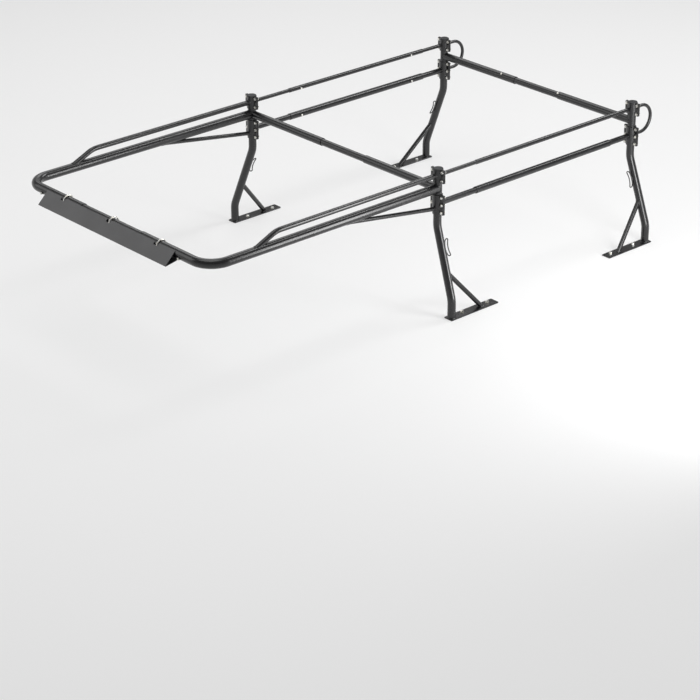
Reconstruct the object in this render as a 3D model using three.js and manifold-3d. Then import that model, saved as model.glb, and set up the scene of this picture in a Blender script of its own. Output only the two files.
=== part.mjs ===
// A bolt-together ladder rack for a pickup bed, in millimetres.
// +X points forward, +Y to the left side and +Z up. The undersides of the base plates lie on Z = 0.
// Four bent legs stand on the bed rails. Cross bars join them from side to side, and a thin and a
// thick bar join them from front to back on each side. A frame reaches forward over the cab and
// carries a folded wind deflector. Every bar that sets a width or a length is a telescoping tube.
import * as THREE from "three";
import { mergeVertices } from "three/addons/utils/BufferGeometryUtils.js";
import Module from "manifold-3d";

const wasm = await Module();
wasm.setup();

// Where the legs stand, measured between the axes of their upright tops
const LEG_SPACING_LONG = 1500;
const LEG_SPACING_WIDE = 1500;

// Clearances
const SEAT_GAP = 0.3;
const RUNNING_CLEARANCE = 0.4;

// Legs: an upright top, a stretch that leans outwards, and an upright foot
const LEG_OD = 44.4;
const LEG_WALL = 2.8;
const LEG_TOP = 796;
const LEG_BEND_BELOW_CLAMP = 70;
const LEG_LOWER_BEND = 103;
const LEG_FOOT_OUT = 143;
const FRONT_LEG_FOOT_AHEAD = 24;
const LEG_BEND_RADIUS = 120;

// Plastic caps that plug the legs
const CAP_OVERHANG = 3.8;
const CAP_THICK = 5;
const CAP_PLUG = 14;

// Base plates on the bed rails, running from a leg towards the middle of the bed
const BASE_LENGTH = 350;
const BASE_WIDTH = 60;
const BASE_THICK = 6;
const BASE_PAST_LEG = 26;
const BASE_BOLT_HOLE = 11;
const BASE_BOLT_INBOARD = 10;
const BASE_BOLT_FROM_LEG = 87;
const BASE_BOLT_SPACING = 187;

// Slanting brace from each leg down to its base plate
const BRACE_OD = 25.4;
const BRACE_WALL = 2;
const BRACE_TOP_HEIGHT = 247;
const BRACE_FOOT_FROM_LEG = 219;

// Rope cleat on each leg: a long ring of wire that bows away from the leg at both ends
const CLEAT_WIRE = 6;
const CLEAT_MIDDLE = 361;
const CLEAT_LENGTH = 97;
const CLEAT_WIDTH = 25.5;
const CLEAT_BOW = 11.7;

// Clamps: two half shells that close on a leg, with ears on both sides
const CLAMP_WALL = 5;
const CLAMP_SPLIT = 3;
const CLAMP_EAR_WIDTH = 20.5;
const CLAMP_BOLT_FROM_EDGE = 11;
const CLAMP_BOLT_HOLE = 9;
const UPPER_CLAMP_HEIGHT = 72;
const UPPER_CLAMP_BOLT_SPACING = 48;
const LOWER_CLAMP_HEIGHT = 108;
const LOWER_CLAMP_BOLT_SPACING = 42;
const UPPER_CLAMP_TO_CAB_TUBE = 10.6;
const CAB_TUBE_TO_LOWER_CLAMP = 6.6;

// Side bars: a sleeve slides on a stub at each end
const UPPER_SLEEVE_OD = 25.4;
const UPPER_SLEEVE_WALL = 1.6;
const LOWER_SLEEVE_OD = 38.1;
const LOWER_SLEEVE_WALL = 2.8;
const STUB_WALL = 2;
const SIDE_SLEEVE_LENGTH = 1040;
const SIDE_SLEEVE_BACK = 45;
const SIDE_OVERLAP = 230;

// Cross bars: a middle tube slides in an end tube at each leg
const CROSS_OD = 44.4;
const CROSS_WALL = 2.8;
const CROSS_SHOWN = 345;
const CROSS_LEFT = 22;
const CROSS_OVERLAP = 220;

// Frame over the cab
const CAB_OD = 50.8;
const CAB_WALL = 2.8;
const CAB_REACH = 1524;
const CAB_CORNER_RADIUS = 115;
const CAB_SHOWN = 484;
const CAB_LEFT = -15;
const CAB_OVERLAP = 200;
const RAIL_OD = 28;
const RAIL_WALL = 2;
const RAIL_BEND_FROM_FRONT = 424;
const RAIL_RUN_DOWN = 162;
const RAIL_BEND_RADIUS = 150;
const STRUT_OD = 22.2;
const STRUT_WALL = 2;
const STRUT_BELOW_CLAMP_MIDDLE = 24;
const STRUT_LENGTH_ALONG = 575;

// Wind deflector: a sheet folded to a wedge in front of and below the front bar
const DEFLECTOR_LENGTH = 1058;
const DEFLECTOR_LEFT = -13;
const DEFLECTOR_SHEET = 2;
const DEFLECTOR_NOSE_AHEAD = 83.5;
const DEFLECTOR_NOSE_DROP = 46;
const DEFLECTOR_TAIL_BEHIND = 45;
const DEFLECTOR_TAIL_DROP = 25;
const U_BOLT_ROD = 8;
const U_BOLT_SPACING = 386;
const U_BOLT_LEFT = -5;
const U_BOLT_BELOW_NOSE = 4;
const U_BOLT_CLEARANCE = 1;

// Half-round hoops behind the rear legs
const HOOP_ROD = 19;
const HOOP_STRAIGHT = 75;

// Facets
const TUBE_SIDES = 16;
const ROD_SIDES = 10;
const WIRE_SIDES = 8;
const BEND_STEPS = 4;
const HOLE_SIDES = 8;

// Sizes that follow from the ones above
const LEG_RADIUS = LEG_OD / 2;
const CLAMP_INNER = LEG_RADIUS + SEAT_GAP;
const CLAMP_OUTER = CLAMP_INNER + CLAMP_WALL;
const CLAMP_EAR_REACH = CLAMP_OUTER + CLAMP_EAR_WIDTH;
const CLAMP_BOLT_OUT = CLAMP_EAR_REACH - CLAMP_BOLT_FROM_EDGE;
const UPPER_CLAMP_MIDDLE = LEG_TOP - UPPER_CLAMP_HEIGHT / 2;
const CROSS_HEIGHT = LEG_TOP - UPPER_CLAMP_HEIGHT - UPPER_CLAMP_TO_CAB_TUBE - CAB_OD / 2;
const LOWER_CLAMP_TOP = CROSS_HEIGHT - CAB_OD / 2 - CAB_TUBE_TO_LOWER_CLAMP;
const LOWER_CLAMP_MIDDLE = LOWER_CLAMP_TOP - LOWER_CLAMP_HEIGHT / 2;
const LEG_UPPER_BEND = LOWER_CLAMP_TOP - LOWER_CLAMP_HEIGHT - LEG_BEND_BELOW_CLAMP;
const UPPER_STUB_OD = insideOf(UPPER_SLEEVE_OD, UPPER_SLEEVE_WALL);
const LOWER_STUB_OD = insideOf(LOWER_SLEEVE_OD, LOWER_SLEEVE_WALL);
const CROSS_MIDDLE_OD = insideOf(CROSS_OD, CROSS_WALL);
const CAB_MIDDLE_OD = insideOf(CAB_OD, CAB_WALL);
const U_BOLT_RADIUS = CAB_OD / 2 + SEAT_GAP + U_BOLT_ROD / 2;
const HOOP_HEIGHT = UPPER_CLAMP_MIDDLE - LOWER_CLAMP_MIDDLE;

// The outer diameter of a tube that slides inside another
function insideOf(outerDiameter, wall) {
  return outerDiameter - 2 * wall - 2 * RUNNING_CLEARANCE;
}

const blackSteel = new THREE.MeshStandardMaterial({ color: 0x1d1e20, roughness: 0.38, metalness: 0.1 });
const greySheet = new THREE.MeshStandardMaterial({ color: 0x55565a, roughness: 0.5, metalness: 0.1 });
const blackPlastic = new THREE.MeshStandardMaterial({ color: 0x232426, roughness: 0.55, metalness: 0 });
const zincSteel = new THREE.MeshStandardMaterial({ color: 0xc9ccd0, roughness: 0.3, metalness: 1 });

// A run of straight lines joined by round bends, sampled only where the direction changes
class BentRoute extends THREE.Curve {
  constructor(corners, bendRadius) {
    super();
    this.places = [corners[0]];
    this.directions = [direction(corners[0], corners[1])];
    for (let i = 1; i < corners.length - 1; i++) {
      this.addBend(corners[i - 1], corners[i], corners[i + 1], bendRadius);
    }
    this.places.push(corners[corners.length - 1]);
    this.directions.push(direction(corners[corners.length - 2], corners[corners.length - 1]));
  }

  addBend(before, corner, after, radius) {
    const arriving = direction(before, corner);
    const leaving = direction(corner, after);
    const turn = arriving.angleTo(leaving);
    const axis = arriving.clone().cross(leaving).normalize();
    const inward = axis.clone().cross(arriving);
    const start = corner.clone().addScaledVector(arriving, -radius * Math.tan(turn / 2));
    const centre = start.clone().addScaledVector(inward, radius);
    const steps = Math.max(2, Math.ceil((BEND_STEPS * turn) / (Math.PI / 4)));
    for (let k = 0; k <= steps; k++) {
      const angle = (turn * k) / steps;
      this.places.push(start.clone().sub(centre).applyAxisAngle(axis, angle).add(centre));
      this.directions.push(arriving.clone().applyAxisAngle(axis, angle));
    }
  }

  get steps() {
    return this.places.length - 1;
  }

  getPointAt(u, target = new THREE.Vector3()) {
    return target.copy(this.places[Math.round(u * this.steps)]);
  }

  getTangentAt(u, target = new THREE.Vector3()) {
    return target.copy(this.directions[Math.round(u * this.steps)]);
  }
}

function at(x, y, z) {
  return new THREE.Vector3(x, y, z);
}

function direction(from, to) {
  return to.clone().sub(from).normalize();
}

function ring(radius, sides) {
  const points = [];
  for (let i = 0; i < sides; i++) {
    const angle = (2 * Math.PI * i) / sides;
    points.push(new THREE.Vector2(radius * Math.cos(angle), radius * Math.sin(angle)));
  }
  return points;
}

// A tube along a route, or a solid rod where no wall is given
function tube(corners, diameter, wall = 0, bendRadius = 0, sides = TUBE_SIDES) {
  const section = new THREE.Shape(ring(diameter / 2, sides));
  if (wall > 0) section.holes.push(new THREE.Path(ring(diameter / 2 - wall, sides)));
  const route = new BentRoute(corners, bendRadius);
  return new THREE.ExtrudeGeometry(section, { steps: route.steps, extrudePath: route });
}

function box(xs, ys, zs) {
  const geometry = new THREE.BoxGeometry(xs[1] - xs[0], ys[1] - ys[0], zs[1] - zs[0]);
  return geometry.translate((xs[0] + xs[1]) / 2, (ys[0] + ys[1]) / 2, (zs[0] + zs[1]) / 2);
}

function solid(geometry) {
  const bare = geometry.clone();
  bare.deleteAttribute("normal");
  bare.deleteAttribute("uv");
  const merged = mergeVertices(bare, 1e-4);
  const mesh = new wasm.Mesh({
    numProp: 3,
    vertProperties: merged.getAttribute("position").array,
    triVerts: new Uint32Array(merged.index.array),
  });
  return new wasm.Manifold(mesh);
}

function shell(manifold) {
  const mesh = manifold.getMesh();
  const geometry = new THREE.BufferGeometry();
  geometry.setAttribute("position", new THREE.BufferAttribute(mesh.vertProperties, 3));
  geometry.setIndex(new THREE.BufferAttribute(mesh.triVerts, 1));
  return geometry;
}

// A geometry with others cut from it, facetted flat
function cut(geometry, ...cutters) {
  let made = solid(geometry);
  for (const cutter of cutters) made = made.subtract(solid(cutter));
  const flat = shell(made).toNonIndexed();
  flat.computeVertexNormals();
  return flat;
}

function joined(...geometries) {
  let made = solid(geometries[0]);
  for (const other of geometries.slice(1)) made = made.add(solid(other));
  return shell(made);
}

// A straight cutter for a hole or a coped end. Its facets line up with those of a tube along the same
// line, so the gap around that tube is even.
function bore(from, to, diameter, sides = TUBE_SIDES) {
  return tube([from, to], diameter, 0, 0, sides);
}

function piece(parent, name, geometry, material) {
  const mesh = new THREE.Mesh(geometry, material);
  mesh.name = name;
  parent.add(mesh);
  return mesh;
}

// A point of a leg's axis at a height. The legs splay to their own side, and the front ones ahead too.
function legAxis(end, side, height) {
  const lean = (LEG_UPPER_BEND - height) / (LEG_UPPER_BEND - LEG_LOWER_BEND);
  const share = THREE.MathUtils.clamp(lean, 0, 1);
  const ahead = end > 0 ? FRONT_LEG_FOOT_AHEAD : 0;
  return at(share * ahead, share * side * LEG_FOOT_OUT, height);
}

function legCorners(end, side, foot, top) {
  return [foot, LEG_LOWER_BEND, LEG_UPPER_BEND, top].map((height) => legAxis(end, side, height));
}

function legGeometry(end, side) {
  const corners = legCorners(end, side, BASE_THICK + SEAT_GAP, LEG_TOP);
  return tube(corners, LEG_OD, LEG_WALL, LEG_BEND_RADIUS);
}

// The room that a leg takes, with its seat gap, for cutting the ends of what meets it
function legRoom(end, side) {
  const corners = legCorners(end, side, 0, LEG_TOP + CAP_THICK);
  return tube(corners, LEG_OD + 2 * SEAT_GAP, 0, LEG_BEND_RADIUS);
}

function capGeometry() {
  const plug = LEG_RADIUS - LEG_WALL - SEAT_GAP;
  const rim = LEG_RADIUS + CAP_OVERHANG;
  const edge = CAP_THICK / 4;
  const under = LEG_TOP + SEAT_GAP;
  const profile = [
    new THREE.Vector2(0, under - CAP_PLUG),
    new THREE.Vector2(plug, under - CAP_PLUG),
    new THREE.Vector2(plug, under),
    new THREE.Vector2(rim, under),
    new THREE.Vector2(rim, under + CAP_THICK - edge),
    new THREE.Vector2(rim - edge, under + CAP_THICK),
    new THREE.Vector2(0, under + CAP_THICK),
  ];
  return new THREE.LatheGeometry(profile, TUBE_SIDES).rotateX(Math.PI / 2);
}

function basePlateGeometry(end, side) {
  const foot = legAxis(end, side, 0);
  const ends = [foot.x + end * BASE_PAST_LEG, foot.x - end * (BASE_LENGTH - BASE_PAST_LEG)];
  const plate = box(
    [Math.min(...ends), Math.max(...ends)],
    [foot.y - BASE_WIDTH / 2, foot.y + BASE_WIDTH / 2],
    [0, BASE_THICK],
  );
  const row = foot.y - side * BASE_BOLT_INBOARD;
  const holes = [BASE_BOLT_FROM_LEG, BASE_BOLT_FROM_LEG + BASE_BOLT_SPACING].map((away) => {
    const x = foot.x - end * away;
    return bore(at(x, row, -BASE_THICK), at(x, row, 2 * BASE_THICK), BASE_BOLT_HOLE, HOLE_SIDES);
  });
  return cut(plate, ...holes);
}

function braceGeometry(end, side) {
  const top = legAxis(end, side, BRACE_TOP_HEIGHT);
  const seat = BASE_THICK + SEAT_GAP;
  const foot = legAxis(end, side, seat).add(at(-end * BRACE_FOOT_FROM_LEG, 0, 0));
  const past = foot.clone().addScaledVector(direction(top, foot), BRACE_OD);
  const below = box(
    [foot.x - 2 * BRACE_OD, foot.x + 2 * BRACE_OD],
    [foot.y - 2 * BRACE_OD, foot.y + 2 * BRACE_OD],
    [seat - 2 * BRACE_OD, seat],
  );
  return cut(tube([top, past], BRACE_OD, BRACE_WALL, 0, ROD_SIDES), below, legRoom(end, side));
}

// A wire bent to a closed ring in the plane square to an axis
function closedWire(centres, axis, diameter, sides) {
  const count = centres.length;
  const positions = [];
  const index = [];
  centres.forEach((centre, i) => {
    const along = direction(centres[(i + count - 1) % count], centres[(i + 1) % count]);
    const outward = axis.clone().cross(along);
    ring(diameter / 2, sides).forEach((spot, j) => {
      const place = centre.clone().addScaledVector(outward, spot.x).addScaledVector(axis, spot.y);
      positions.push(place.x, place.y, place.z);
      const here = [i * sides + j, i * sides + ((j + 1) % sides)];
      const next = here.map((corner) => (corner + sides) % (count * sides));
      index.push(here[0], here[1], next[0], here[1], next[1], next[0]);
    });
  });
  const geometry = new THREE.BufferGeometry();
  geometry.setAttribute("position", new THREE.Float32BufferAttribute(positions, 3));
  geometry.setIndex(index);
  return geometry;
}

// The near strand of the ring touches the leaning stretch of the leg at its middle. Both strands bow
// away from the leg towards the round ends.
function cleatGeometry(end, side) {
  const lean = direction(legAxis(end, side, LEG_LOWER_BEND), legAxis(end, side, LEG_UPPER_BEND));
  const out = at(-end, 0, 0).addScaledVector(lean, end * lean.x).normalize();
  const half = (CLEAT_LENGTH - CLEAT_WIRE) / 2;
  const round = (CLEAT_WIDTH - CLEAT_WIRE) / 2;
  const straight = half - round;
  const spots = [];
  for (const end of [1, -1]) {
    spots.push([0, -end * round], [(end * straight) / 2, -end * round]);
    for (let k = 0; k <= 4; k++) {
      const angle = (Math.PI * k) / 4;
      spots.push([end * (straight + round * Math.sin(angle)), -end * round * Math.cos(angle)]);
    }
    spots.push([(end * straight) / 2, end * round]);
  }
  const middle = legAxis(end, side, CLEAT_MIDDLE);
  const reach = LEG_RADIUS + SEAT_GAP + CLEAT_WIRE / 2 + round;
  const centres = spots.map(([along, across]) => {
    const bow = CLEAT_BOW * (along / half) ** 2;
    return middle.clone().addScaledVector(lean, along).addScaledVector(out, reach + across + bow);
  });
  return closedWire(centres, lean.clone().cross(out), CLEAT_WIRE, WIRE_SIDES);
}

// The heights of a clamp's bolts about its middle
function boltRow(count, spacing) {
  return Array.from({ length: count }, (_, i) => (i - (count - 1) / 2) * spacing);
}

const clamps = [
  {
    name: "upper_clamp",
    height: UPPER_CLAMP_HEIGHT,
    middle: UPPER_CLAMP_MIDDLE,
    bolts: boltRow(2, UPPER_CLAMP_BOLT_SPACING),
    stub: UPPER_STUB_OD,
  },
  {
    name: "lower_clamp",
    height: LOWER_CLAMP_HEIGHT,
    middle: LOWER_CLAMP_MIDDLE,
    bolts: boltRow(3, LOWER_CLAMP_BOLT_SPACING),
    stub: LOWER_STUB_OD,
  },
];

// The room inside a clamp for the leg, over its whole height and past both ends
function clampBore(clamp) {
  return bore(at(0, 0, -CLAMP_WALL), at(0, 0, clamp.height + CLAMP_WALL), 2 * CLAMP_INNER);
}

// Half a clamp, on the +X side of a leg: a half ring with an ear on each side, standing on Z = 0
function halfShell(clamp) {
  const split = CLAMP_SPLIT / 2;
  const face = split + CLAMP_WALL;
  const past = CLAMP_EAR_REACH + CLAMP_WALL;
  const barrel = bore(at(0, 0, 0), at(0, 0, clamp.height), 2 * CLAMP_OUTER);
  const ears = box([0, face], [-CLAMP_EAR_REACH, CLAMP_EAR_REACH], [0, clamp.height]);
  const otherHalf = box([-past, split], [-past, past], [-CLAMP_WALL, clamp.height + CLAMP_WALL]);
  const holes = [];
  for (const y of [-CLAMP_BOLT_OUT, CLAMP_BOLT_OUT]) {
    for (const up of clamp.bolts) {
      const z = clamp.height / 2 + up;
      holes.push(bore(at(0, y, z), at(face + CLAMP_WALL, y, z), CLAMP_BOLT_HOLE, HOLE_SIDES));
    }
  }
  return cut(joined(barrel, ears), clampBore(clamp), otherHalf, ...holes);
}

// A half shell with the stub of a side bar welded to its face, both on the +X side of the leg
function shellWithStub(clamp, stubEnd) {
  const root = at(CLAMP_OUTER - CLAMP_WALL / 2, 0, clamp.height / 2);
  const stub = tube([root, at(stubEnd, 0, clamp.height / 2)], clamp.stub, STUB_WALL);
  return cut(joined(halfShell(clamp), cut(stub, clampBore(clamp))));
}

// Distance from a leg's axis to the near end of the side sleeves
function sleeveStart(inward) {
  return (LEG_SPACING_LONG - SIDE_SLEEVE_LENGTH) / 2 - inward * SIDE_SLEEVE_BACK;
}

function addClamps(corner, name, inward) {
  for (const clamp of clamps) {
    const bottom = clamp.middle - clamp.height / 2;
    const stubEnd = sleeveStart(inward) + SIDE_OVERLAP;
    const withStub = shellWithStub(clamp, stubEnd);
    const bedHalf = piece(corner, `${name}_${clamp.name}_bed_half`, withStub, blackSteel);
    bedHalf.position.z = bottom;
    bedHalf.rotation.z = inward > 0 ? 0 : Math.PI;
    const endHalf = piece(corner, `${name}_${clamp.name}_end_half`, halfShell(clamp), blackSteel);
    endHalf.position.z = bottom;
    endHalf.rotation.z = inward > 0 ? Math.PI : 0;
  }
}

// Distance from a side's legs to the near end of a middle tube's shown stretch
function shownStart(side, shown, left) {
  return LEG_SPACING_WIDE / 2 - shown / 2 - side * left;
}

// The room that a leg's upright top takes where a bar is welded to it
function legTopRoom() {
  const low = at(0, 0, CROSS_HEIGHT - CAB_OD);
  return bore(low, at(0, 0, CROSS_HEIGHT + CAB_OD), 2 * CLAMP_INNER);
}

function crossEndGeometry(side) {
  const reach = shownStart(side, CROSS_SHOWN, CROSS_LEFT);
  const corners = [at(0, 0, CROSS_HEIGHT), at(0, -side * reach, CROSS_HEIGHT)];
  return cut(tube(corners, CROSS_OD, CROSS_WALL), legTopRoom());
}

// Side tube of the frame over the cab, round its front corner and on as half of the front bar
function cabSideGeometry(side) {
  const reach = shownStart(side, CAB_SHOWN, CAB_LEFT);
  const corners = [
    at(0, 0, CROSS_HEIGHT),
    at(CAB_REACH, 0, CROSS_HEIGHT),
    at(CAB_REACH, -side * reach, CROSS_HEIGHT),
  ];
  const crossBarEnd = at(0, -side * 2 * CAB_OD, CROSS_HEIGHT);
  const crossBarRoom = bore(corners[0], crossBarEnd, CROSS_OD + 2 * SEAT_GAP);
  return cut(tube(corners, CAB_OD, CAB_WALL, CAB_CORNER_RADIUS), legTopRoom(), crossBarRoom);
}

// The room that the straight part of a cab side tube takes
function cabSideRoom() {
  const reach = CAB_REACH - CAB_CORNER_RADIUS;
  return bore(at(LEG_OD, 0, CROSS_HEIGHT), at(reach + CAB_OD, 0, CROSS_HEIGHT), CAB_OD + 2 * SEAT_GAP);
}

// A half ring's outer face with its seat gap, where a welded rail, strut or hoop ends
function clampRoom() {
  return bore(at(0, 0, LEG_LOWER_BEND), at(0, 0, LEG_TOP + CAP_THICK), 2 * (CLAMP_OUTER + SEAT_GAP));
}

function cabRailGeometry() {
  const bend = CAB_REACH - RAIL_BEND_FROM_FRONT;
  const corners = [
    at(0, 0, UPPER_CLAMP_MIDDLE),
    at(bend, 0, UPPER_CLAMP_MIDDLE),
    at(bend + RAIL_RUN_DOWN, 0, CROSS_HEIGHT),
  ];
  return cut(tube(corners, RAIL_OD, RAIL_WALL, RAIL_BEND_RADIUS), clampRoom(), cabSideRoom());
}

function cabStrutGeometry() {
  const underside = CROSS_HEIGHT - CAB_OD / 2;
  const meeting = at(STRUT_LENGTH_ALONG, 0, underside);
  const onClamp = at(CLAMP_OUTER, 0, LOWER_CLAMP_MIDDLE - STRUT_BELOW_CLAMP_MIDDLE);
  const start = onClamp.clone().addScaledVector(direction(meeting, onClamp), CLAMP_OUTER);
  const slope = direction(start, meeting);
  const inside = meeting.clone().addScaledVector(slope, STRUT_OD / slope.z);
  return cut(tube([start, inside], STRUT_OD, STRUT_WALL, 0, ROD_SIDES), clampRoom(), cabSideRoom());
}

function hoopGeometry() {
  const middle = (UPPER_CLAMP_MIDDLE + LOWER_CLAMP_MIDDLE) / 2;
  const radius = HOOP_HEIGHT / 2;
  const corners = [
    at(0, 0, middle + radius),
    at(-HOOP_STRAIGHT - radius, 0, middle + radius),
    at(-HOOP_STRAIGHT - radius, 0, middle - radius),
    at(0, 0, middle - radius),
  ];
  return cut(tube(corners, HOOP_ROD, 0, radius - 0.01, ROD_SIDES), clampRoom());
}

// One corner of the rack, in a group whose origin is under the upright top of the leg
function addCorner(rack, name, end, side) {
  const corner = new THREE.Group();
  corner.position.set((end * LEG_SPACING_LONG) / 2, (side * LEG_SPACING_WIDE) / 2, 0);
  rack.add(corner);
  piece(corner, `${name}_leg`, legGeometry(end, side), blackSteel);
  piece(corner, `${name}_cap`, capGeometry(), blackPlastic);
  piece(corner, `${name}_base_plate`, basePlateGeometry(end, side), blackSteel);
  piece(corner, `${name}_leg_brace`, braceGeometry(end, side), blackSteel);
  piece(corner, `${name}_rope_cleat`, cleatGeometry(end, side), blackSteel);
  addClamps(corner, name, -end);
  piece(corner, `${name}_cross_bar_end`, crossEndGeometry(side), blackSteel);
  if (end > 0) {
    piece(corner, `${name}_cab_side_tube`, cabSideGeometry(side), blackSteel);
    piece(corner, `${name}_cab_rail`, cabRailGeometry(), blackSteel);
    piece(corner, `${name}_cab_strut`, cabStrutGeometry(), blackSteel);
  } else {
    piece(corner, `${name}_hoop`, hoopGeometry(), blackSteel);
  }
}

// Middle tube of a telescoping bar that runs from side to side
function middleTube(shown, left, overlap, diameter, wall) {
  const half = shown / 2 + overlap;
  return tube([at(0, left - half, 0), at(0, left + half, 0)], diameter, wall);
}

function addMiddleTubes(rack) {
  for (const [name, end] of [["front", 1], ["rear", -1]]) {
    const middle = middleTube(CROSS_SHOWN, CROSS_LEFT, CROSS_OVERLAP, CROSS_MIDDLE_OD, CROSS_WALL);
    const bar = piece(rack, `${name}_cross_bar_middle`, middle, blackSteel);
    bar.position.set((end * LEG_SPACING_LONG) / 2, 0, CROSS_HEIGHT);
  }
  const front = middleTube(CAB_SHOWN, CAB_LEFT, CAB_OVERLAP, CAB_MIDDLE_OD, CAB_WALL);
  const frontBar = piece(rack, "cab_front_bar_middle", front, blackSteel);
  frontBar.position.set(LEG_SPACING_LONG / 2 + CAB_REACH, 0, CROSS_HEIGHT);
}

function addSideSleeves(rack) {
  const ends = [
    at(-SIDE_SLEEVE_LENGTH / 2 - SIDE_SLEEVE_BACK, 0, 0),
    at(SIDE_SLEEVE_LENGTH / 2 - SIDE_SLEEVE_BACK, 0, 0),
  ];
  for (const [name, side] of [["left", 1], ["right", -1]]) {
    const y = (side * LEG_SPACING_WIDE) / 2;
    const thin = tube(ends, UPPER_SLEEVE_OD, UPPER_SLEEVE_WALL);
    const upper = piece(rack, `${name}_upper_sleeve`, thin, blackSteel);
    upper.position.set(0, y, UPPER_CLAMP_MIDDLE);
    const thick = tube(ends, LOWER_SLEEVE_OD, LOWER_SLEEVE_WALL);
    const lower = piece(rack, `${name}_lower_sleeve`, thick, blackSteel);
    lower.position.set(0, y, LOWER_CLAMP_MIDDLE);
  }
}

// The folded sheet, seen from the left with the front bar's axis at the origin. Its upper leaf runs
// from the nose up to where it lies on the bar, and its lower leaf runs back under the bar.
function deflectorGeometry(uBoltPlaces) {
  const nose = new THREE.Vector2(DEFLECTOR_NOSE_AHEAD, -DEFLECTOR_NOSE_DROP);
  const tail = new THREE.Vector2(-DEFLECTOR_TAIL_BEHIND, -DEFLECTOR_TAIL_DROP);
  const touching = CAB_OD / 2 + SEAT_GAP;
  const turn = Math.acos((touching + DEFLECTOR_SHEET) / nose.length()) + nose.angle();
  const top = new THREE.Vector2(Math.cos(turn), Math.sin(turn)).multiplyScalar(touching);
  const topOuter = top.clone().setLength(touching + DEFLECTOR_SHEET);
  const upward = topOuter.clone().sub(nose).normalize();
  const backward = tail.clone().sub(nose).normalize();
  const halfFold = Math.acos(upward.dot(backward)) / 2;
  const through = upward.clone().add(backward).normalize();
  const innerNose = nose.clone().addScaledVector(through, DEFLECTOR_SHEET / Math.sin(halfFold));
  const tailInner = tail.clone().add(new THREE.Vector2(backward.y, -backward.x).setLength(DEFLECTOR_SHEET));
  const outline = new THREE.Shape([top, topOuter, nose, tail, tailInner, innerNose]);
  const sheet = new THREE.ExtrudeGeometry(outline, { depth: DEFLECTOR_LENGTH, bevelEnabled: false });
  sheet.translate(0, 0, -DEFLECTOR_LENGTH / 2).rotateX(Math.PI / 2).translate(0, DEFLECTOR_LEFT, 0);
  return cut(sheet, ...uBoltPlaces.map((y) => uBolt(y, U_BOLT_ROD + 2 * U_BOLT_CLEARANCE, HOLE_SIDES)));
}

// A U-bolt over the bar, or with a larger diameter the room that it needs in the sheet
function uBolt(y, diameter, sides) {
  const low = -DEFLECTOR_NOSE_DROP - U_BOLT_BELOW_NOSE;
  const corners = [
    at(-U_BOLT_RADIUS, y, low),
    at(-U_BOLT_RADIUS, y, U_BOLT_RADIUS),
    at(U_BOLT_RADIUS, y, U_BOLT_RADIUS),
    at(U_BOLT_RADIUS, y, low),
  ];
  return tube(corners, diameter, 0, U_BOLT_RADIUS - 0.01, sides);
}

function addDeflector(rack) {
  const group = new THREE.Group();
  group.position.set(LEG_SPACING_LONG / 2 + CAB_REACH, 0, CROSS_HEIGHT);
  rack.add(group);
  const places = [-1, 0, 1].map((step) => U_BOLT_LEFT + step * U_BOLT_SPACING);
  piece(group, "wind_deflector", deflectorGeometry(places), greySheet);
  ["right", "middle", "left"].forEach((name, i) => {
    piece(group, `deflector_u_bolt_${name}`, uBolt(places[i], U_BOLT_ROD, ROD_SIDES), zincSteel);
  });
}

const rack = new THREE.Group();
addCorner(rack, "front_left", 1, 1);
addCorner(rack, "front_right", 1, -1);
addCorner(rack, "rear_left", -1, 1);
addCorner(rack, "rear_right", -1, -1);
addMiddleTubes(rack);
addSideSleeves(rack);
addDeflector(rack);

// The origin lies under the middle of the rack's whole length
const extent = new THREE.Box3().setFromObject(rack);
rack.position.x = -(extent.min.x + extent.max.x) / 2;

const group = new THREE.Group();
group.add(rack);
export default group;
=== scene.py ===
# %% [markdown]
# # A ladder rack in black powder coat
#
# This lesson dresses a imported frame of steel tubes. The frame already holds every tube, clamp and
# plate at its real place, but with flat facets. Each piece is drawn again here as a smooth
# surface that numpy works out from a formula, and each finish is built from nodes.

import bpy
import numpy as np
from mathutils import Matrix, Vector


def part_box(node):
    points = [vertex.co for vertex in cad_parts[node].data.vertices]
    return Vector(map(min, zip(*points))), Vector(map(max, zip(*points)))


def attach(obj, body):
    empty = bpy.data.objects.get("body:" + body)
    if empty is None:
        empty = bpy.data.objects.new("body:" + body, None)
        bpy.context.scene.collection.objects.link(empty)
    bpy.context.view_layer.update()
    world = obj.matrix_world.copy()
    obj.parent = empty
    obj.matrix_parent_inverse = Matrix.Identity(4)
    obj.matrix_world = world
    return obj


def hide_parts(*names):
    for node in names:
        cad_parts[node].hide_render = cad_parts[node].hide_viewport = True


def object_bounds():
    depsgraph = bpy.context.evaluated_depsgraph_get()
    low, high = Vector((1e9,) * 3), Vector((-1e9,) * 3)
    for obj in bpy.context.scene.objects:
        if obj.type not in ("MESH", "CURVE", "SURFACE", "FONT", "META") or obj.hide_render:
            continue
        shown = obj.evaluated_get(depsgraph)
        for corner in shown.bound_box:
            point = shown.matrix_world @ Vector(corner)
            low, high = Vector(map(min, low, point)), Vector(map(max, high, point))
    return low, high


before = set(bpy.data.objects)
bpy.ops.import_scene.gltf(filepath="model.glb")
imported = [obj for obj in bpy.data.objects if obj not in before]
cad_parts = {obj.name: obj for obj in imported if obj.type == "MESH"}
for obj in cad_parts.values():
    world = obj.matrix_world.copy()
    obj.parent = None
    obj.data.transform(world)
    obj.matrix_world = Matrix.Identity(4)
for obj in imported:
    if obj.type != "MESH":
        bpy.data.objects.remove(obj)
cad_box = [[float(value) for value in corner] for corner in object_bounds()]
print("box:", cad_box)

# %% [markdown]
# ## Sizes read from the frame
#
# Blender works in metres, but tube work is easier to read in millimetres. All shapes below are
# worked out in millimetres and turned into metres once, when a mesh is made. The places come from
# the frame's own boxes, so they can't drift away from it.

# %% Read the places of the main pieces
MM = 0.001


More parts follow.
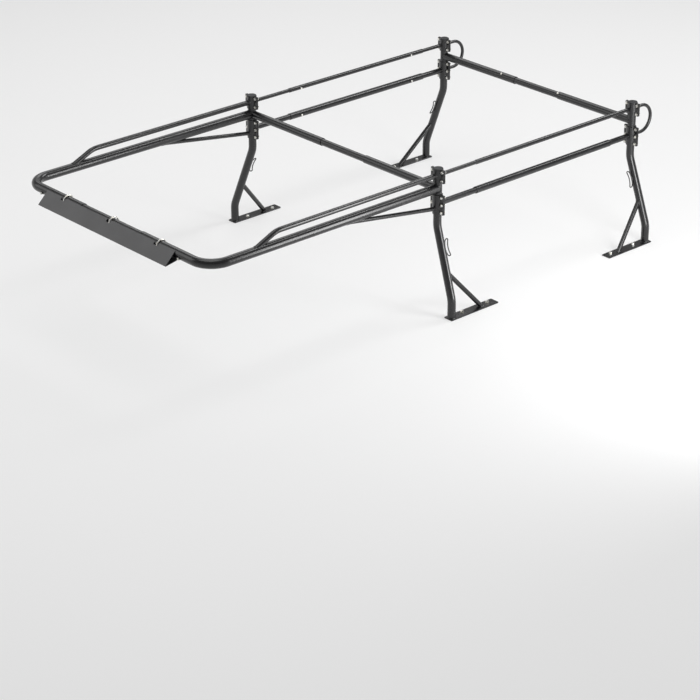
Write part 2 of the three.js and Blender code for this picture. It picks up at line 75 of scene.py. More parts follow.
def box_mm(node):
    """Lowest and highest corner of a frame node, in millimetres."""
    low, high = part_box(node)
    return np.array(low) / MM, np.array(high) / MM


def middle_mm(node):
    """Middle of a frame node's box, in millimetres."""
    low, high = box_mm(node)
    return (low + high) / 2


BOX_LOW, BOX_HIGH = np.array(cad_box) / MM
FRONT_X = middle_mm("front_left_cap")[0]
REAR_X = middle_mm("rear_left_leg")[0]
SIDE_Y = middle_mm("left_upper_sleeve")[1]
BAR_X = middle_mm("cab_front_bar_middle")[0]
BAR_Z = middle_mm("cab_front_bar_middle")[2]
UPPER_Z = middle_mm("left_upper_sleeve")[2]
LOWER_Z = middle_mm("left_lower_sleeve")[2]
LEG_TOP = box_mm("front_left_leg")[1][2]
print("leg axes x:", FRONT_X, REAR_X, "side y:", SIDE_Y, "bars z:", LOWER_Z, BAR_Z, UPPER_Z)

# %% [markdown]
# ## The camera
#
# The picture looks down at the rack from its front left. A long lens from twelve metres away
# keeps the sides of the rack nearly parallel. The camera is placed from measured numbers. A
# constraint could point it at a target, but a matrix that holds its right, up and backward
# directions says exactly where it looks.

# %% Place the camera
CAMERA_PLACE = np.array([7.91947, 8.81487, 5.22750])
CAMERA_HEADING = -2.30496
CAMERA_TILT = -0.451877
LENS_MM = 120.356


def camera_matrix(place, heading, tilt):
    """A 4 by 4 matrix whose columns are right, up, backward and place.

    The view direction is (cos tilt·cos heading, cos tilt·sin heading, sin tilt), right is that
    direction crossed with +Z, and up is right crossed with the view direction.
    """
    ahead = np.array([np.cos(tilt) * np.cos(heading), np.cos(tilt) * np.sin(heading), np.sin(tilt)])
    right = np.cross(ahead, [0, 0, 1])
    right /= np.linalg.norm(right)
    matrix = np.eye(4)
    matrix[:3, :4] = np.column_stack([right, np.cross(right, ahead), -ahead, place])
    return matrix


scene = bpy.context.scene
lens = bpy.data.cameras.new("long_lens")
lens.lens = LENS_MM
lens.sensor_width = 36.0
lens.sensor_fit = "HORIZONTAL"
lens.clip_end = 100.0
camera = bpy.data.objects.new("camera", lens)
camera.matrix_world = camera_matrix(CAMERA_PLACE, CAMERA_HEADING, CAMERA_TILT).T.tolist()
scene.collection.objects.link(camera)
scene.camera = camera
scene.view_settings.view_transform = "Standard"
print("camera at", [round(float(v), 3) for v in camera.location])

# %% [markdown]
# ## Colours and nodes
#
# Paint colours are written as the hex values that one would pick on a screen. Blender's shaders
# want linear light, so one function turns them. A second small function adds a node, sets its
# values and links it, which keeps each finish short enough to read as a recipe. Two blends come
# back in all finishes: a colour ramp turns a noise either into a colour or, with greys, into a
# number.


# %% Helpers for finishes
def paint(hex_colour):
    """Linear colour of an sRGB hex value: c/12.92 below 0.04045, else ((c + 0.055)/1.055)^2.4."""
    srgb = np.array([int(hex_colour[i : i + 2], 16) for i in (1, 3, 5)]) / 255
    linear = np.where(srgb <= 0.04045, srgb / 12.92, ((srgb + 0.055) / 1.055) ** 2.4)
    return (*map(float, linear), 1.0)


def fill(tree, node, inputs):
    """Fills a node's inputs, each with a value or with a link from another node's socket."""
    for key, value in inputs.items():
        if isinstance(value, bpy.types.NodeSocket):
            tree.links.new(value, node.inputs[key])
        else:
            node.inputs[key].default_value = value


def add(tree, kind, settings=None, inputs=None, stops=()):
    """Adds one node with its own settings and its inputs.

    A colour ramp has stops too: (0.3, a) and (0.7, b) blend a into b between inputs 0.3 and 0.7.
    """
    node = tree.nodes.new(kind)
    for key, value in (settings or {}).items():
        setattr(node, key, value)
    for stop, (position, colour) in zip(node.color_ramp.elements if stops else (), stops):
        stop.position, stop.color = position, colour
    fill(tree, node, inputs or {})
    return node


def new_finish(name):
    """An empty material with a Principled shader, and its node tree."""
    finish = bpy.data.materials.new(name)
    finish.use_nodes = True
    tree = finish.node_tree
    shader = next(node for node in tree.nodes if node.type == "BSDF_PRINCIPLED")
    return finish, tree, shader


def greys(low, first, high, second):
    """Two stops of a ramp that drives a number: first at input low, second at input high."""
    return [(low, (first, first, first, 1.0)), (high, (second, second, second, 1.0))]


print("helpers ready, a mid grey is", round(paint("#808080")[0], 3), "in linear light")

# %% [markdown]
# ## Powder coat
#
# The tubes are steel with a baked powder coat: a thick, semi-gloss, black polyester film. It
# melts in the oven and never flows quite flat, so its gloss breaks up over a faint orange peel.
# The peel's cells are 2 to 4 mm across on the real tube. They are drawn 8 mm across here, because
# finer ones only sparkle in the picture. A slow noise makes some stretches a little duller, as
# handling does, and the faces that look up carry a trace of dust. A painted picture could hold
# all this, but it would need a seam along every bent tube. Noise in space has none.


# %% Black powder coat
def powder_coat(name, colour, dusty_colour, dull, dullest, peel_mm):
    """Semi-gloss powder coat with orange peel, uneven gloss and a trace of dust on upward faces.

    The dust's share is the normal's height, times fine specks, times the slow patches of handling.
    """
    finish, tree, shader = new_finish(name)
    place = add(tree, "ShaderNodeTexCoord").outputs["Object"]
    surface = add(tree, "ShaderNodeNewGeometry").outputs["Normal"]
    upward = add(tree, "ShaderNodeSeparateXYZ", inputs={"Vector": surface}).outputs["Z"]
    slow, peel, specks = (
        add(
            tree,
            "ShaderNodeTexNoise",
            inputs={"Vector": place, "Scale": 1 / (cell * MM), "Detail": detail, "Roughness": fade},
        ).outputs["Fac"]
        for cell, detail, fade in ((120.0, 4.0, 0.6), (peel_mm, 1.0, 0.5), (9.0, 6.0, 0.75))
    )
    dust = upward
    speckled, handled = greys(0.45, 0.0, 0.75, 1.0), greys(0.35, 0.15, 0.7, 0.8)
    for noise, stops in ((specks, speckled), (slow, handled)):
        share = add(tree, "ShaderNodeValToRGB", inputs={"Fac": noise}, stops=stops)
        clamped = {"operation": "MULTIPLY", "use_clamp": True}
        dust = add(tree, "ShaderNodeMath", clamped, {0: dust, 1: share.outputs["Color"]}).outputs[0]
    mixed = add(
        tree,
        "ShaderNodeMix",
        {"data_type": "RGBA"},
        {"Factor": dust, "A": paint(colour), "B": paint(dusty_colour)},
    )
    gloss = add(
        tree, "ShaderNodeValToRGB", inputs={"Fac": slow}, stops=greys(0.3, dull, 0.7, dullest)
    )
    bump = add(
        tree, "ShaderNodeBump", inputs={"Strength": 0.05, "Distance": 0.4 * MM, "Height": peel}
    )
    fill(tree, shader, {
        "Base Color": mixed.outputs["Result"],
        "Roughness": gloss.outputs["Color"],
        "Normal": bump.outputs["Normal"],
        "IOR": 1.5,
        "Coat Weight": 0.25,
        "Coat Roughness": 0.18,
    })
    return finish


BLACK_COAT = powder_coat("black_powder_coat_on_tube", "#121214", "#2a2a29", 0.22, 0.32, 8.0)
print("finish:", BLACK_COAT.name)

# %% [markdown]
# ## Satin paint on the folded sheet
#
# The deflector looks greyer than the tubes. It is the same kind of coat with a flatter, satin
# film on a broad flat sheet, where a soft light shows as a wide grey sheen instead of a thin
# line. A recipe of its own could draw it, but the same one with other numbers keeps both coats
# alike.

# %% Satin grey coat
SATIN_COAT = powder_coat("satin_grey_coat_on_sheet", "#525253", "#585857", 0.42, 0.55, 10.0)
print("finish:", SATIN_COAT.name)

# %% [markdown]
# ## Bright zinc
#
# Bolts, nuts, washers and U-bolts are zinc plated and passivated. Zinc gives a bright but
# slightly milky metal with a faint blue and yellow shimmer. A metal keeps the shader's own
# reflection, so only its colour and the spread of its gloss are set. The recipe is written as a
# function of its patches and its grain, because the plastic below needs the same one with other
# numbers.


# %% Zinc plating
def patchy_finish(name, patch_mm, colours, gloss, grain_mm, bump, own):
    """A finish whose colour and gloss drift over soft patches, under a fine bumpy grain.

    The bump is its strength and its height in millimetres. Own values of the shader come last.
    """
    finish, tree, shader = new_finish(name)
    place = add(tree, "ShaderNodeTexCoord").outputs["Object"]
    patches, grain = (
        add(
            tree,
            "ShaderNodeTexNoise",
            inputs={"Vector": place, "Scale": 1 / (cell * MM), "Detail": detail},
        ).outputs["Fac"]
        for cell, detail in ((patch_mm, 3.0), (grain_mm, 2.0))
    )
    colour, dullness = (
        add(tree, "ShaderNodeValToRGB", inputs={"Fac": patches}, stops=stops).outputs["Color"]
        for stops in (colours, gloss)
    )
    strength, height_mm = bump
    bumps = add(
        tree,
        "ShaderNodeBump",
        inputs={"Strength": strength, "Distance": height_mm * MM, "Height": grain},
    )
    normal = bumps.outputs["Normal"]
    fill(tree, shader, {"Base Color": colour, "Roughness": dullness, "Normal": normal, **own})
    return finish


ZINC = patchy_finish(
    "bright_zinc_plating",
    patch_mm=6.0,
    colours=[(0.35, paint("#d9dcdf")), (0.65, paint("#e6e1d2"))],
    gloss=greys(0.3, 0.2, 0.7, 0.36),
    grain_mm=1.2,
    bump=(0.15, 0.1),
    own={"Metallic": 1.0},
)
print("finish:", ZINC.name)

# %% [markdown]
# ## Moulded plastic
#
# The caps on the legs are pressed-in polyethylene plugs. Polyethylene is waxy and dull, and the
# mould leaves a fine spark-eroded grain on it, which scatters the light evenly. The grain is
# drawn 1 mm wide, far coarser than the real one, so that it shows at all. A plain dull black
# would lose the caps against the legs.

# %% Polyethylene caps
CAP_PLASTIC = patchy_finish(
    "moulded_black_polyethylene",
    patch_mm=18.0,
    colours=[(0.3, paint("#202123")), (0.7, paint("#2b2c2e"))],
    gloss=greys(0.3, 0.5, 0.7, 0.62),
    grain_mm=1.0,
    bump=(0.3, 0.15),
    own={"IOR": 1.51},
)
print("finish:", CAP_PLASTIC.name)

# %% [markdown]
# ## From a formula to a mesh
#
# Every piece below is a stack of rings of points. A sheet of quads joins each ring to the next,
# and a fan closes the first and the last ring, so the surface is closed and its faces look
# outwards. A loop such as a weld bead has no ends, so its last ring is joined to its first.
# Blender's curves and primitives could make some of the shapes, but not a tube with a cut end or
# a swelling bead, so one way serves for all.


# %% Skins over rings of points
NO_TRIANGLES = np.zeros((0, 3), dtype=int)


def faced_outwards(points, quads, triangles=NO_TRIANGLES):
    """Turns a closed skin's faces outwards, so that the sum of p0·(p1 × p2)/6 is positive."""
    corners = np.vstack([quads[:, [0, 1, 2]], quads[:, [0, 2, 3]], triangles])
    middle = points.mean(axis=0)
    a, b, c = (points[corners[:, k]] - middle for k in range(3))
    if np.einsum("ij,ij->i", a, np.cross(b, c)).sum() < 0:
        quads, triangles = quads[:, ::-1], triangles[:, ::-1]
    return points, quads, triangles


def ring_quads(first, second):
    """Quads between two rows of point numbers that run round the same way and close."""
    corners = [first, np.roll(first, -1, -1), np.roll(second, -1, -1), second]
    return np.stack(corners, -1).reshape(-1, 4)


def closed_skin(rings):
    """Skin over rings of shape (rows, around, 3), with a fan to its middle over each end."""
    rows, around, _ = rings.shape
    number = np.arange(rows * around).reshape(rows, around)
    points = np.vstack([rings.reshape(-1, 3), rings[:1].mean(axis=1), rings[-1:].mean(axis=1)])
    start = np.stack([np.full(around, rows * around), np.roll(number[0], -1), number[0]], -1)
    end = np.stack([np.full(around, rows * around + 1), number[-1], np.roll(number[-1], -1)], -1)
    return faced_outwards(points, ring_quads(number[:-1], number[1:]), np.vstack([start, end]))


def looped_skin(rings):
    """Skin over rings of shape (rows, around, 3) whose last ring joins its first."""
    rows, around, _ = rings.shape
    number = np.arange(rows * around).reshape(rows, around)
    return faced_outwards(rings.reshape(-1, 3), ring_quads(number, np.roll(number, -1, axis=0)))


def sheet_skin(outer, inner):
    """Skin of a bent sheet: a grid of outer points, the inner points to match, and four edges."""
    rows, columns, _ = outer.shape
    n = rows * columns
    number = np.arange(n).reshape(rows, columns)
    top = np.stack([number[:-1, :-1], number[:-1, 1:], number[1:, 1:], number[1:, :-1]], -1)
    top = top.reshape(-1, 4)
    edge = np.concatenate([number[0], number[1:, -1], number[-1, -2::-1], number[-2:0:-1, 0]])
    after = np.roll(edge, -1)
    sides = np.stack([after, edge, n + edge, n + after], -1)
    points = np.vstack([outer.reshape(-1, 3), inner.reshape(-1, 3)])
    return faced_outwards(points, np.vstack([top, top[:, ::-1] + n, sides]))


demo = ring_quads(np.arange(4), np.arange(4, 8))
print("two rings of four points are joined by", len(demo), "quads")

# %% [markdown]
# ## From skins to a piece
#
# A tube and its weld beads are one coated piece, so one object is made from several skins. It
# rides on the frame's body that carries it, stands for the frame's faceted node, and names the
# slot of its finish. Smooth shading would smear over real edges. So edges sharper than 35° stay
# sharp, and where a pressed or sheared edge shows, a small bevel rounds it instead.

# %% One piece from several skins
SHARP_EDGE_DEG = 35.0
BEVELLED_EDGE_DEG = 40.0
made_faces = {}


def make_piece(name, skins, finish, body, replaces=(), bevel_mm=0.0):
    """One Blender object from skins in millimetres, on a body and in the place of frame nodes."""
    starts = np.cumsum([0] + [len(points) for points, _, _ in skins])
    corners = np.vstack([points for points, _, _ in skins])
    quads = np.vstack([quads + start for (_, quads, _), start in zip(skins, starts)])
    triangles = np.vstack([triangles + start for (_, _, triangles), start in zip(skins, starts)])
    mesh = bpy.data.meshes.new(name)
    mesh.from_pydata((corners * MM).tolist(), [], quads.tolist() + triangles.tolist())
    mesh.polygons.foreach_set("use_smooth", np.ones(len(mesh.polygons), dtype=bool))
    mesh.materials.append(finish)
    made = bpy.data.objects.new(name, mesh)
    scene.collection.objects.link(made)
    if bevel_mm:
        round_edges = made.modifiers.new("rounded_edges", "BEVEL")
        round_edges.width = bevel_mm * MM
        round_edges.segments = 2
        round_edges.limit_method = "ANGLE"
        round_edges.angle_limit = np.radians(BEVELLED_EDGE_DEG)
        round_edges.harden_normals = True
    else:
        mesh.set_sharp_from_angle(angle=np.radians(SHARP_EDGE_DEG))
    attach(made, body)
    if replaces:
        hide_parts(*replaces)
    made_faces[name] = 2 * len(quads) + len(triangles)
    return made


# %% [markdown]
# ## Routes of bent tube
#
# A tube bender leaves straight runs joined by arcs. A hand-drawn curve could follow them, but its
# bends would vary. So a route is written as its corners and one bend radius, as on the bender.
# The arc starts where the tangent from the corner has the length R·tan(turn/2), and it is sampled
# every three degrees, which looks round from close up.


# %% Routes and positions along them
def unit(vector):
    """A vector, or rows of vectors, scaled to length one."""
    vector = np.asarray(vector, dtype=float)
    return vector / np.linalg.norm(vector, axis=-1, keepdims=True)


def bent_route(corners, bend=0.0, step_deg=3.0):
    """Points along straight runs and arcs.

    With a the heading before a corner and n the inward normal, a point on the arc is
    start + R·sin t·a + R·(1 − cos t)·n, for t from 0 to the turn.
    """
    corners = np.asarray(corners, dtype=float)
    points = [corners[:1]]
    for before, corner, following in zip(corners, corners[1:], corners[2:]):
        heading, leaving = unit(corner - before), unit(following - corner)
        turn = np.arccos(np.clip(heading @ leaving, -1, 1))
        inward = unit(leaving - heading * (heading @ leaving))
        start = corner - heading * bend * np.tan(turn / 2)
        t = np.linspace(0, turn, max(3, int(np.ceil(np.degrees(turn) / step_deg)) + 1))[:, None]
        points.append(start + bend * np.sin(t) * heading + bend * (1 - np.cos(t)) * inward)
    points.append(corners[-1:])
    points = np.vstack(points)
    reach = np.concatenate([[0], np.cumsum(np.linalg.norm(np.diff(points, axis=0), axis=1))])
    keep = np.concatenate([[True], np.diff(reach) > 1e-6])
    return points[keep], reach[keep]


def along(line, reach):
    """Points and headings at distances along a route, which goes on straight past its ends."""
    points, marks = line
    reach = np.asarray(reach, dtype=float)
    inside = np.clip(reach, marks[0], marks[-1])
    place = np.stack([np.interp(inside, marks, points[:, k]) for k in range(3)], -1)
    runs = unit(np.diff(points, axis=0))
    nodes = unit(np.vstack([runs[:1], runs[:-1] + runs[1:], runs[-1:]]))
    heading = unit(np.stack([np.interp(inside, marks, nodes[:, k]) for k in range(3)], -1))
    return place + heading * (reach - inside)[..., None], heading


def tube_rings(line, reach, radius, across, sides=40, shift=None):
    """Rings of a tube at distances reach along a route, each with its own radius.

    A point is place + radius·(cos φ·(across × heading) + sin φ·across). The optional shift
    moves each point of a ring along the heading, which cuts an end to the shape of what it meets.
    """
    place, heading = along(line, reach)
    side = np.cross(across, heading)
    angle = np.linspace(0, 2 * np.pi, sides, endpoint=False)
    radius = np.asarray(radius, dtype=float)
    radius = radius.reshape(len(reach), -1) if radius.ndim else np.full((len(reach), 1), radius)
    swing = np.cos(angle)[None, :, None] * side[:, None] + np.sin(angle)[None, :, None] * across
    rings = place[:, None] + radius[..., None] * swing
    if shift is not None:
        rings = rings + shift[..., None] * heading[:, None]
    return rings


def reaches(line):
    """Distances at every sampled point of a route, with a few more along its straight runs."""
    marks = line[1]
    runs = [np.linspace(a, b, max(2, int((b - a) / 120) + 1)) for a, b in zip(marks, marks[1:])]
    return np.unique(np.concatenate(runs))


demo = bent_route([[0, 0, 0], [100, 0, 0], [100, 100, 0]], bend=40)
print("a square corner of radius 40 runs", round(float(demo[1][-1]), 1), "mm instead of 200")

# %% [markdown]
# ## Coped ends
#
# Where one tube is welded to another, its end is cut to a fish mouth. Each line along the tube's
# wall is followed until it reaches the other tube's surface. That is a quadratic equation in the
# distance, solved for all lines of the wall at once. Lines that would miss the other tube stop
# beside its axis. A boolean could cut the end too, but it leaves ragged faces, and the weld needs
# the cut's line.


# %% Distances to a round tube and to a flat plate
def cope(starts, heading, axis_point, axis, radius, side=1.0):
    """Distance along heading from each start to the surface |p − a − ((p − a)·k)k| = R.

    side +1 takes the far root, where a line comes out of the tube, and −1 the near root.
    """
    offset = starts - axis_point
    offset = offset - (offset @ axis)[:, None] * axis
    run = heading - (heading @ axis) * axis
    a = run @ run
    b = offset @ run
    c = (offset**2).sum(axis=1) - radius**2
    return (-b + side * np.sqrt(np.maximum(b**2 - a * c, 0))) / a


def cope_plane(starts, heading, height):
    """Distance along heading from each start to the level plane z = height."""
    return (height - starts[:, 2]) / heading[2]


AHEAD, LEFT, UP = np.eye(3)
met = cope(20 * LEFT[None], AHEAD, np.zeros(3), UP, 25.0)[0]
print("a 40 mm tube's side meets an upright 50 mm tube", round(float(met), 1), "mm from its axis")

# %% [markdown]
# ## A tube and its two ends
#
# A tube is its route, its diameter and its wall. Each of its ends is either cut to what it meets,
# or open. An open end shows the wall's thickness: a bevelled lip, the flat rim and a bore. The
# bore is drawn only as deep as one can look into it. On the outer tubes of the telescoping bars
# it is drawn deeper, so that the inner tube never reaches its end, however the rack is set.

# %% The tube
BORE = 90.0
SLIDING_BORE = 330.0


class Tube:
    """A tube or rod along a route, whose two ends are open, plain, or cut to what they meet."""

    def __init__(self, corners, diameter, across, bend=0.0, wall=0.0, sides=40, bore=BORE):
        self.line = bent_route(corners, bend)
        self.radius = diameter / 2
        self.across = unit(across)
        self.wall = wall
        self.bore = bore
        self.sides = sides
        self.rim = {}

    def wall_lines(self, at_end):
        """Start points of the wall's lines at one end of the route, and the heading there."""
        reach = self.line[1][-1] if at_end else 0.0
        ring = tube_rings(self.line, np.array([reach]), self.radius, self.across, self.sides)[0]
        heading = along(self.line, np.array([reach]))[1][0]
        return ring, heading

    def cut_start(self, distance):
        """Cuts the start: distance(starts, heading) says how far each wall line begins."""
        self.rim["start"] = distance(*self.wall_lines(False))

    def cut_end(self, distance):
        """Cuts the end: distance(starts, heading) says how far past it each wall line stops."""
        self.rim["end"] = distance(*self.wall_lines(True))

    def open_mouth(self, reach, sign):
        """Rings of an open end: bevelled lip, rim and inner wall. The sign is −1 at the start.

        The first ring, 1.5 mm before the lip, keeps the lip's shading off the long straight wall.
        """
        lip = min(0.8, self.wall / 3)
        inner = self.radius - self.wall
        lips = [[lip + 1.5, 0], [lip, 0], [0.3 * lip, 0.3 * lip], [0, lip], [0, self.wall - lip]]
        back = [[0.3 * lip, self.wall - 0.3 * lip], [lip, self.wall], [self.bore, self.wall]]
        steps = np.array(lips + back)
        return reach - sign * steps[:, 0], np.maximum(self.radius - steps[:, 1], inner)

    def skin(self):
        """Vertices and faces of the whole tube.

        There is one ring for each distance along the route. An open end's rings take the place of
        its plain ring. At a cut end, one ring is shifted to the cut, and the rings past it go.
        """
        total = self.line[1][-1]
        reach = reaches(self.line)
        radius = np.full(len(reach), self.radius)
        if "start" not in self.rim and self.wall:
            mouth, widths = self.open_mouth(0.0, -1)
            reach = np.concatenate([mouth[::-1], reach[1:]])
            radius = np.concatenate([widths[::-1], radius[1:]])
        if "end" not in self.rim and self.wall:
            mouth, widths = self.open_mouth(total, 1)
            reach = np.concatenate([reach[:-1], mouth])
            radius = np.concatenate([radius[:-1], widths])
        shift = np.zeros((len(reach), self.sides))
        if "start" in self.rim:
            limit = self.rim["start"].max()
            keep = reach > limit + 1e-3
            reach = np.concatenate([[0.0], reach[keep]])
            radius = np.concatenate([radius[:1], radius[keep]])
            shift = np.zeros((len(reach), self.sides))
            shift[0] = self.rim["start"]
        if "end" in self.rim:
            limit = total + self.rim["end"].min()
            keep = reach < limit - 1e-3
            shift = np.concatenate([shift[keep], self.rim["end"][None]])
            reach = np.concatenate([reach[keep], [total]])
            radius = np.concatenate([radius[keep], radius[-1:]])
        return closed_skin(tube_rings(self.line, reach, radius, self.across, self.sides, shift))

    def rim_line(self, which):
        """Closed line of points round a cut end."""
        ring, heading = self.wall_lines(which == "end")
        return ring + self.rim[which][:, None] * heading


demo = Tube([[0, 0, 0], [500, 0, 0]], 40.0, [0, 0, 1], wall=2.0)
print("a plain 500 mm tube has", len(demo.skin()[1]), "quads")

# %% [markdown]
# ## Weld beads
#
# A wire-fed weld lays a bead of small overlapping puddles along the joint. The bead is a thin
# loop of rings along the cut end's rim. Its thickness swells and shrinks as |sin| of the
# distance, once each puddle, and the coat over it hides the metal. A bump on a smooth fillet
# would be cheaper, but the bead shows in the outline of every joint.


# %% Beads along a rim
def spaced(points, spacing):
    """Points at an even spacing round a closed line, and their distances along it."""
    loop = np.vstack([points, points[:1]])
    marks = np.concatenate([[0], np.cumsum(np.linalg.norm(np.diff(loop, axis=0), axis=1))])
    even = np.linspace(0, marks[-1], max(24, int(marks[-1] / spacing)), endpoint=False)
    return np.stack([np.interp(even, marks, loop[:, k]) for k in range(3)], -1), even


def bead(rim, size=3.2, puddle=5.0, sides=8):
    """A closed weld bead of radius size·(0.8 + 0.2·|sin(π·distance/puddle)|) round a rim."""
    centre, marks = spaced(rim, puddle / 4)
    heading = unit(np.roll(centre, -1, axis=0) - np.roll(centre, 1, axis=0))
    out = centre - centre.mean(axis=0)
    out = unit(out - (out * heading).sum(axis=1)[:, None] * heading)
    third = np.cross(heading, out)
    swell = size * (0.8 + 0.2 * np.abs(np.sin(np.pi * marks / puddle)))
    angle = np.linspace(0, 2 * np.pi, sides, endpoint=False)[None, :, None]
    swing = np.cos(angle) * out[:, None] + np.sin(angle) * third[:, None]
    return looped_skin(np.clip(centre[:, None] + swell[:, None, None] * swing, BOX_LOW, BOX_HIGH))


def welded(tube, size=3.2):
    """A tube's skin, and a weld bead round each of its cut ends."""
    return [tube.skin()] + [bead(tube.rim_line(which), size) for which in tube.rim]


demo.cut_start(lambda starts, heading: 0 * starts[:, 0])
print("a bead round its start has", len(welded(demo)[1][1]), "quads")

# %% [markdown]
# ## Where each corner stands
#
# The rack has four legs that mirror each other. A place at a corner is given as three plain
# numbers: how far it lies ahead of the leg, how far outwards from it, and how high. One function
# turns them into the shared frame, so every piece is written once and made four times. A mirror
# modifier would copy the shapes too, but each corner has to move with its own body.

# %% Corners
CORNERS = {
    "front_left": (FRONT_X, 1, 1),
    "front_right": (FRONT_X, 1, -1),
    "rear_left": (REAR_X, -1, 1),
    "rear_right": (REAR_X, -1, -1),
}


def at(corner, ahead, out, up):
    """A place in the shared frame, in millimetres, from a place beside a leg's upright top."""
    x, _, side = CORNERS[corner]
    return np.array([x + ahead, side * (SIDE_Y + out), float(up)])


def body_of(corner):
    """The frame body that carries a corner's fixed pieces."""
    return corner + "_corner"


print("front left leg tops out at", at("front_left", 0, 0, LEG_TOP))

# %% [markdown]
# ## Legs
#
# Each leg is one length of 44 mm round tube with a 2.8 mm wall. It stands upright on its plate,
# leans inwards over most of its height, and ends upright where the clamps grip it. The front legs
# splay a little forwards too. Both bends come from a mandrel bender, so the tube keeps its round
# section. A ring of weld joins its foot to the plate. A bevelled curve could draw it as well, but
# only rings of points can be cut level at the foot and give the weld its line.

# %% Make the legs
LEG_OD = 44.4
TUBE_WALL = 2.8
LEG_BENDS = (103.0, 478.0)
LEG_BEND_RADIUS = 120.0
PLATE_TOP = 6.0
FOOT_OUT = box_mm("front_left_leg")[1][1] - LEG_OD / 2 - SIDE_Y
FOOT_AHEAD = {1: box_mm("front_left_leg")[1][0] - LEG_OD / 2 - FRONT_X, -1: 0.0}


def leg_axis(corner, height, away=0.0):
    """A point of a leg's axis, moved along the rack towards its middle by away.

    Between the two bends the axis is a straight line: its shift is the foot's, times the share of
    the height between the bends that lies above the point.
    """
    _, end, _ = CORNERS[corner]
    share = np.clip((LEG_BENDS[1] - height) / (LEG_BENDS[1] - LEG_BENDS[0]), 0, 1)
    return at(corner, share * FOOT_AHEAD[end] - end * away, share * FOOT_OUT, height)


def leg_lean(corner):
    """Direction of the leaning stretch, upwards."""
    return unit(leg_axis(corner, LEG_BENDS[1]) - leg_axis(corner, LEG_BENDS[0]))


for corner in CORNERS:
    stops = [leg_axis(corner, height) for height in (PLATE_TOP, *LEG_BENDS, LEG_TOP)]
    splay = np.cross(stops[1] - stops[2], UP)
    leg = Tube(stops, LEG_OD, splay, LEG_BEND_RADIUS, TUBE_WALL)
    leg.cut_start(lambda starts, heading: cope_plane(starts, heading, PLATE_TOP))
    make_piece(corner + "_leg_tube", welded(leg), BLACK_COAT, body_of(corner), [corner + "_leg"])
print("legs:", [made_faces[corner + "_leg_tube"] for corner in CORNERS], "triangles")

# %% [markdown]
# ## Caps
#
# A black plastic plug closes each leg. It is a turned shape: a ribbed plug that grips the tube's
# bore, and a round head with a rolled edge and a faint crown. Blender's Spin tool does this by
# hand. Here a profile of heights and radii is carried round the leg's axis, and the same few
# lines make every bolt below.

# %% Make the caps
CAP_RADIUS = 26.0
CAP_TOP = BOX_HIGH[2]


def stacked_rings(base, axis, heights, radii, sides):
    """Closed skin of rings round an axis, at heights above its base and with radii for each."""
    axis = unit(axis)
    across = AHEAD if abs(axis @ AHEAD) < 0.9 else UP
    across = unit(across - (across @ axis) * axis)
    line = (np.array([base, base + axis]), np.array([0.0, 1.0]))
    return closed_skin(tube_rings(line, heights, radii, across, sides))


def turned(base, axis, profile, sides=32, flats=0.0):
    """A shape turned round an axis from (height, radius) rows.

    With flats, the radius at angle a is at most flats / cos((a mod 60°) − 30°), a hexagon.
    """
    profile = np.asarray(profile, dtype=float)
    radius = np.repeat(profile[:, 1:2], sides, axis=1)
    if flats:
        angle = np.degrees(np.linspace(0, 2 * np.pi, sides, endpoint=False))
        radius = np.minimum(radius, flats / np.cos(np.radians(angle % 60 - 30))[None])
    return stacked_rings(base, axis, profile[:, 0], radius, sides)


def cap_profile():
    """Rows of the cap: three plug ribs, the flat underside, a quarter-round edge, a low crown."""
    bore = LEG_OD / 2 - TUBE_WALL
    rib, groove = bore - 0.3, bore - 1.2
    turn = np.linspace(0, np.pi / 2, 7)
    plug = [[-13, bore - 1.6], [-12, rib], [-11, groove], [-8, groove], [-7, rib]]
    plug += [[-6, groove], [-3, groove], [-2, rib], [-1, rib], [0, rib]]
    edge = np.column_stack([2.4 + 2.0 * np.sin(turn), CAP_RADIUS - 2.0 + 2.0 * np.cos(turn)])
    shares = [(4.6, 0.8), (5.0, 0.5), (CAP_TOP - LEG_TOP, 0.15)]
    crown = [[height, CAP_RADIUS * share] for height, share in shares]
    return np.vstack([plug, [[0, CAP_RADIUS - 0.6], [0.5, CAP_RADIUS]], edge, crown])


for corner in CORNERS:
    skin = turned(at(corner, 0, 0, LEG_TOP), UP, cap_profile(), sides=48)
    make_piece(corner + "_leg_cap", [skin], CAP_PLASTIC, body_of(corner), [corner + "_cap"])
print("caps:", made_faces["front_left_leg_cap"], "triangles each")

# %% [markdown]
# ## Base plates
#
# Flat bar, 60 by 6 mm, spreads the load of each leg. Its corners are rounded off a little. A cube
# with a bevel would round its corners and its edges by the same amount, and a real plate has
# large corners and fine edges. So the outline is a rounded rectangle, and an inset row at the top
# and at the bottom makes the soft edge that a tumbled and coated plate has.

# %% Make the base plates
PLATE_CORNER = 6.0
PLATE_EDGE = 0.8


def plate_rings(low, high, corner_radius, edge):
    """Rings of a flat plate: rounded rectangles, the first and the last inset by the soft edge."""
    turn = np.radians(np.arange(0, 91, 15))
    middle = (low + high)[:2] / 2
    rows = []
    for inset, z in [(edge, low[2]), (0, low[2] + edge), (0, high[2] - edge), (edge, high[2])]:
        half = (high - low)[:2] / 2 - corner_radius
        ring = []
        for quarter, (sx, sy) in enumerate([(1, 1), (-1, 1), (-1, -1), (1, -1)]):
            angle = turn + quarter * np.pi / 2
            reach = corner_radius - inset
            xs = middle[0] + sx * half[0] + reach * np.cos(angle)
            ys = middle[1] + sy * half[1] + reach * np.sin(angle)
            ring.append(np.column_stack([xs, ys, np.full(len(angle), z)]))
        rows.append(np.vstack(ring))
    return np.stack(rows)


for corner in CORNERS:
    low, high = box_mm(corner + "_base_plate")
    skin = closed_skin(plate_rings(low, high, PLATE_CORNER, PLATE_EDGE))
    name = corner + "_rail_plate"
    make_piece(name, [skin], BLACK_COAT, body_of(corner), [corner + "_base_plate"])
print("plates:", made_faces["front_left_rail_plate"], "triangles each")

